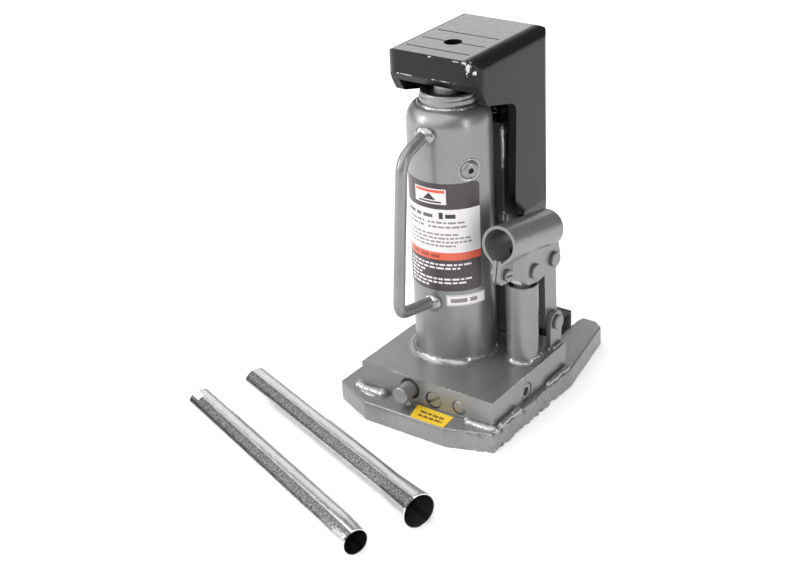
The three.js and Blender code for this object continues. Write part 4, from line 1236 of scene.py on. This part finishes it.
@dataclass(frozen=True)
class LiftingFrame:
    """The black frame with its toe, keepers, collar and springs."""

    turns: int = 60
    coil_radius: float = 3.75
    wire_radius: float = 0.72

    def build(self) -> None:
        LIFTING_FRAME.refine(Slot.BLACK, "lift_frame", 0.55, 3, roughen=0.1, bend=1.7)
        LIFTING_FRAME.refine(Slot.BLACK, "lift_toe", 0.7, 3, roughen=0.25)
        LIFTING_FRAME.refine(Slot.BLACK, "guide_keeper_right guide_keeper_left ram_collar "
                             "spring_hanger", 0.3, 2)
        path = [(x, 69.9, 22.2) for x in (-31.5, -10, 12, 33.2)]
        toe_weld = Bead("toe_weld", path, (0, 0.6, 1), 2.4, 2.0, 2.6, 31)
        LIFTING_FRAME.own(toe_weld.build(), Slot.BLACK)
        for side in ("right", "left"):
            self.spring(side)

    def spring(self, side: str) -> None:
        """A close-wound spring, swept where the CAD spring stands."""
        node = "return_spring_" + side
        low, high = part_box(node)
        x, y = ((low[k] + high[k]) / 2 for k in range(2))
        t = np.linspace(0, 1, self.turns * 18)
        turn = 2 * np.pi * self.turns * t
        bottom, top = low[2] / MM, high[2] / MM
        coil = np.stack([
            x / MM + self.coil_radius * np.cos(turn),
            y / MM + self.coil_radius * np.sin(turn),
            bottom + 1.2 + (top - bottom - 2.4) * t,
        ], axis=1)
        spring = sweep("spring_coil_" + side, coil, np.full(len(coil), self.wire_radius), 7)
        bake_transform(spring)
        dress(spring, Slot.SPRING, [node])


# ---------------------------------------------------------------- pump and release valve


@dataclass(frozen=True)
class Pump:
    """The release valve, and the pump's cylinder, plunger, link and handle socket."""

    x: float = 49.75
    y: float = 8.0
    radius: float = 11.1
    bottom: float = 35.0
    top: float = 92.7

    def build(self) -> None:
        release = Body("release_screw")
        release.refine(Slot.GREY, "release_valve", 0.35, 3)
        release.refine(Slot.GREY, "release_valve_lug", 0.3, 2)
        r, top, foot = self.radius, self.top, (self.x, self.y, 0)
        lip = rounded([(r, top - 0.9), (r - 0.1, top - 0.1, 0.6), (9.5, top - 0.05, 0.3),
                       (9.3, top - 1.5)], 4)
        profile = np.concatenate([upright(r, self.bottom, top - 1.0, 24), lip])
        JACK_BASE.turn(Slot.GREY, "pump_cylinder", "pump_tube", profile, origin=foot,
                       ripple=uneven(0.04, 30.0, 61, 0.04))
        ring = rounded([(9.25, top - 3.0), (9.1, top - 1.3, 0.3), (8.2, top - 1.1, 0.4),
                        (7.4, top - 2.0, 0.4), (6.15, top - 2.2)], 4)
        JACK_BASE.turn(Slot.RUBBER, "pump_gland", "pump_seal", ring, origin=foot, sides=72)
        Body("pump_link").refine(Slot.GREY, "pump_link", 0.5, 3)
        lever = Body("pump_lever")
        lever.refine(Slot.GREY, "handle_socket", 0.4, 3, 30.0)
        lever.refine(Slot.GREY, "link_pin plunger_pin clamp_screw clamp_nut", 0.25, 2)
        JACK_BASE.refine(Slot.GREY, "bracket_pin", 0.25, 2)
        Body("pump_plunger").refine(Slot.STEEL, "plunger", 0.4, 3)


# ---------------------------------------------------------------- pump handle


@dataclass(frozen=True)
class Tube:
    """One tube of the pump handle, drawn along its own axis.

    Attributes:
        side: the side of the pair that it is on, lower or upper.
        rear, aim: centre of its rear end, and a point towards which its axis runs.
        profile: (distance along, radius) pairs, smoothed between.
        seed: seed of its dents.
        notch: angle from the top towards the camera, half width and length, or None.
        length, wall, rim: its length, its wall's thickness and the rounding of its ends.
        sink: how far its skin is set in, so that its dents stay within the tube.
        dark: middle and half width of its band of painted reflection, in degrees from the top.
    """

    side: str
    rear: Triple
    aim: Triple
    profile: Sequence[tuple[float, float]]
    seed: int
    notch: Optional[Triple] = None
    length: float = 203.0
    wall: float = 1.1
    rim: float = 0.25
    sink: float = 0.03
    dark: tuple[float, float] = (38.0, 22.0)

    def build(self) -> None:
        rows, columns = 220, 160
        rear = np.array(self.rear)
        frame = basis(np.array(self.aim) - rear)
        along = np.linspace(0, self.length, rows)
        radius = np.interp(along, *np.array(self.profile).T)
        kernel = np.hanning(7) / np.hanning(7).sum()
        radius = np.convolve(np.pad(radius, 3, mode="edge"), kernel, "valid")
        angles, ring = spokes(frame, columns)
        skin = (radius - self.sink)[:, None, None]
        points = (rear + along[:, None, None] * frame[2] + skin * ring).reshape(-1, 3)
        dents = self.sink * smooth_noise(points, 12.0, self.seed) - self.sink
        points = points + np.tile(ring, (rows, 1)) * dents[:, None]
        faces = grid_faces(rows, columns, wrap_columns=True)
        if self.notch:
            angle, half, depth = self.notch
            turn = angles[faces[:, 0] % columns] - math.radians(angle)
            across = np.abs((turn + np.pi) % (2 * np.pi) - np.pi) * radius[0]
            faces = faces[~((across < half) & (along[faces[:, 0] // columns] < depth))]
        # The band on which the material paints a dark reflection, fading out towards its edges.
        middle, half = (math.radians(angle) for angle in self.dark)
        shade = (np.cos(angles - middle) - math.cos(half)) / (1 - math.cos(half))
        around = np.tile(angles * radius.max(), rows)
        uv = np.stack([around, np.repeat(along, columns)], axis=1)
        tube = add_mesh(f"handle_tube_{self.side}", points, faces, 60.0, uv,
                        band=np.tile(np.clip(shade, 0, 1), rows))
        skin = tube.modifiers.new("wall", "SOLIDIFY")
        skin.thickness = self.wall * MM
        skin.offset = -1.0
        bevel = tube.modifiers.new("rim", "BEVEL")
        bevel.width = self.rim * MM
        bevel.segments = 2
        bevel.limit_method = "ANGLE"
        bevel.angle_limit = math.radians(60)
        Body(f"{self.side}_handle").own(tube, Slot.ZINC, f"handle_{self.side}")


HANDLE = (
    Tube("lower", (-131.25, -126.75, 10.55), (60.1, -198.4, 10.55),
         ((0, 10.5), (180, 10.5), (191, 10.26), (203, 9.3)), 71, (20.6, 2.6, 9.0)),
    Tube("upper", (-116.2, -84.3, 10.55), (75.1, -154.1, 12.4),
         ((0, 10.5), (172, 10.5), (192, 11.58), (203, 12.3)), 72),
)


# ---------------------------------------------------------------- stage


@dataclass(frozen=True)
class Lamp:
    """A rectangular lamp: its place and aim and its sides in metres, and its power in watts."""

    name: str
    place: Triple
    aim: Triple
    size: tuple[float, float]
    watts: float

    def build(self) -> bpy.types.Object:
        data = bpy.data.lights.new(self.name, "AREA")
        data.shape = "RECTANGLE"
        data.size, data.size_y = self.size
        data.energy = self.watts
        lamp = linked(self.name, data)
        lamp.location = self.place
        towards = Vector(self.aim) - Vector(self.place)
        lamp.rotation_euler = towards.to_track_quat("-Z", "Y").to_euler()
        lamp.visible_camera = False
        return lamp


MIDDLE: Triple = (0.0, 0.0, 0.15)
HEAD_STRIP = Lamp("head_strip", (-0.605, 0.815, 0.60), (0.0, 0.02, 0.254), (0.9, 0.30), 1.56)
LAMPS = (
    Lamp("back_left", (-0.97, 1.28, 0.86), (0.0, 0.0, 0.1), (2.0, 0.9), 4.6),
    Lamp("front_left", (-1.1, -1.0, 0.75), MIDDLE, (0.5, 0.9), 7.0),
    Lamp("right", (1.2, -0.2, 0.5), MIDDLE, (0.25, 0.8), 3.0),
)


@dataclass(frozen=True)
class Stage:
    """The floor, the lights and the camera. Its angles are in degrees."""

    eye: Triple = (524.75, -756.8, 552.25)
    yaw: float = 37.27
    pitch: float = 27.08
    roll: float = -3.10
    lens: float = 67.86
    floor_half: float = 6000.0
    sun_strength: float = 2.85
    sun_spread: float = 100.0
    sun_from: Triple = (-0.35, -0.55, 1.0)
    world_strength: float = 0.2

    def camera(self) -> None:
        yaw, pitch, roll = (math.radians(a) for a in (self.yaw, self.pitch, self.roll))
        level = math.cos(pitch)
        back = np.array([math.sin(yaw) * level, -math.cos(yaw) * level, math.sin(pitch)])
        right = np.array([math.cos(yaw), math.sin(yaw), 0.0])
        up = np.cross(back, right)
        data = bpy.data.cameras.new("camera")
        data.lens = self.lens
        data.sensor_width = 36.0
        data.clip_start, data.clip_end = 0.01, 20.0
        camera = linked("camera", data)
        axes = np.stack([math.cos(roll) * right + math.sin(roll) * up,
                         -math.sin(roll) * right + math.cos(roll) * up, back,
                         np.array(self.eye) * MM], axis=1)
        camera.matrix_world = Matrix([*axes.tolist(), [0.0, 0.0, 0.0, 1.0]])
        bpy.context.scene.camera = camera

    def floor(self) -> None:
        graph = Graph("floor_white")
        graph.set(
            Base_Color=(0.9, 0.9, 0.9),
            Roughness=graph.remap(graph.noise(3.0), 0.3, 0.7, 0.85, 0.95),
            Emission_Color=(1.0, 1.0, 1.0),
            Emission_Strength=0.34,
        )
        corners = np.array([[-1, -1, 0], [1, -1, 0], [1, 1, 0], [-1, 1, 0]])
        floor = add_mesh("floor", self.floor_half * corners, [[0, 1, 2, 3]])
        floor.data.materials.append(graph.material)

    def world(self) -> None:
        world = bpy.data.worlds.new("studio")
        world.use_nodes = True
        shade = world.node_tree.nodes["Background"]
        shade.inputs["Color"].default_value = (1.0, 1.0, 1.0, 1.0)
        shade.inputs["Strength"].default_value = self.world_strength
        bpy.context.scene.world = world
        bpy.context.scene.view_settings.view_transform = "Standard"

    def lights(self) -> None:
        """A broad overhead sun, lamps round the jack, and a strip that lights only the head."""
        data = bpy.data.lights.new("overhead", "SUN")
        data.energy = self.sun_strength
        data.angle = math.radians(self.sun_spread)
        sun = linked("overhead", data)
        sun.rotation_euler = Vector(self.sun_from).to_track_quat("Z", "Y").to_euler()
        lit = bpy.data.collections.new("head_strip_lights")
        lit.objects.link(bpy.data.objects["lift_frame_body"])
        HEAD_STRIP.build().light_linking.receiver_collection = lit
        for lamp in LAMPS:
            lamp.build()

    def build(self) -> None:
        self.camera()
        self.floor()
        self.world()
        self.lights()


# ---------------------------------------------------------------- main


def paint_frame(frame: dict) -> None:
    """Gives every CAD node the material of its slot."""
    slots = {part["node"]: Slot(part["material_slot"]) for part in frame["record"]["subparts"]}
    for name, node in frame["nodes"].items():
        node.data.materials.clear()
        node.data.materials.append(paint(slots[name]))


def main() -> None:
    """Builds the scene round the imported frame."""
    logging.basicConfig(level=logging.INFO)
    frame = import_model()
    paint_frame(frame)
    for part in (Base(), Tank(), Films(), LiftingFrame(), Pump(), *HANDLE, Stage()):
        part.build()
        LOG.info("built %s", type(part).__name__)


if __name__ == "__main__":
    main()
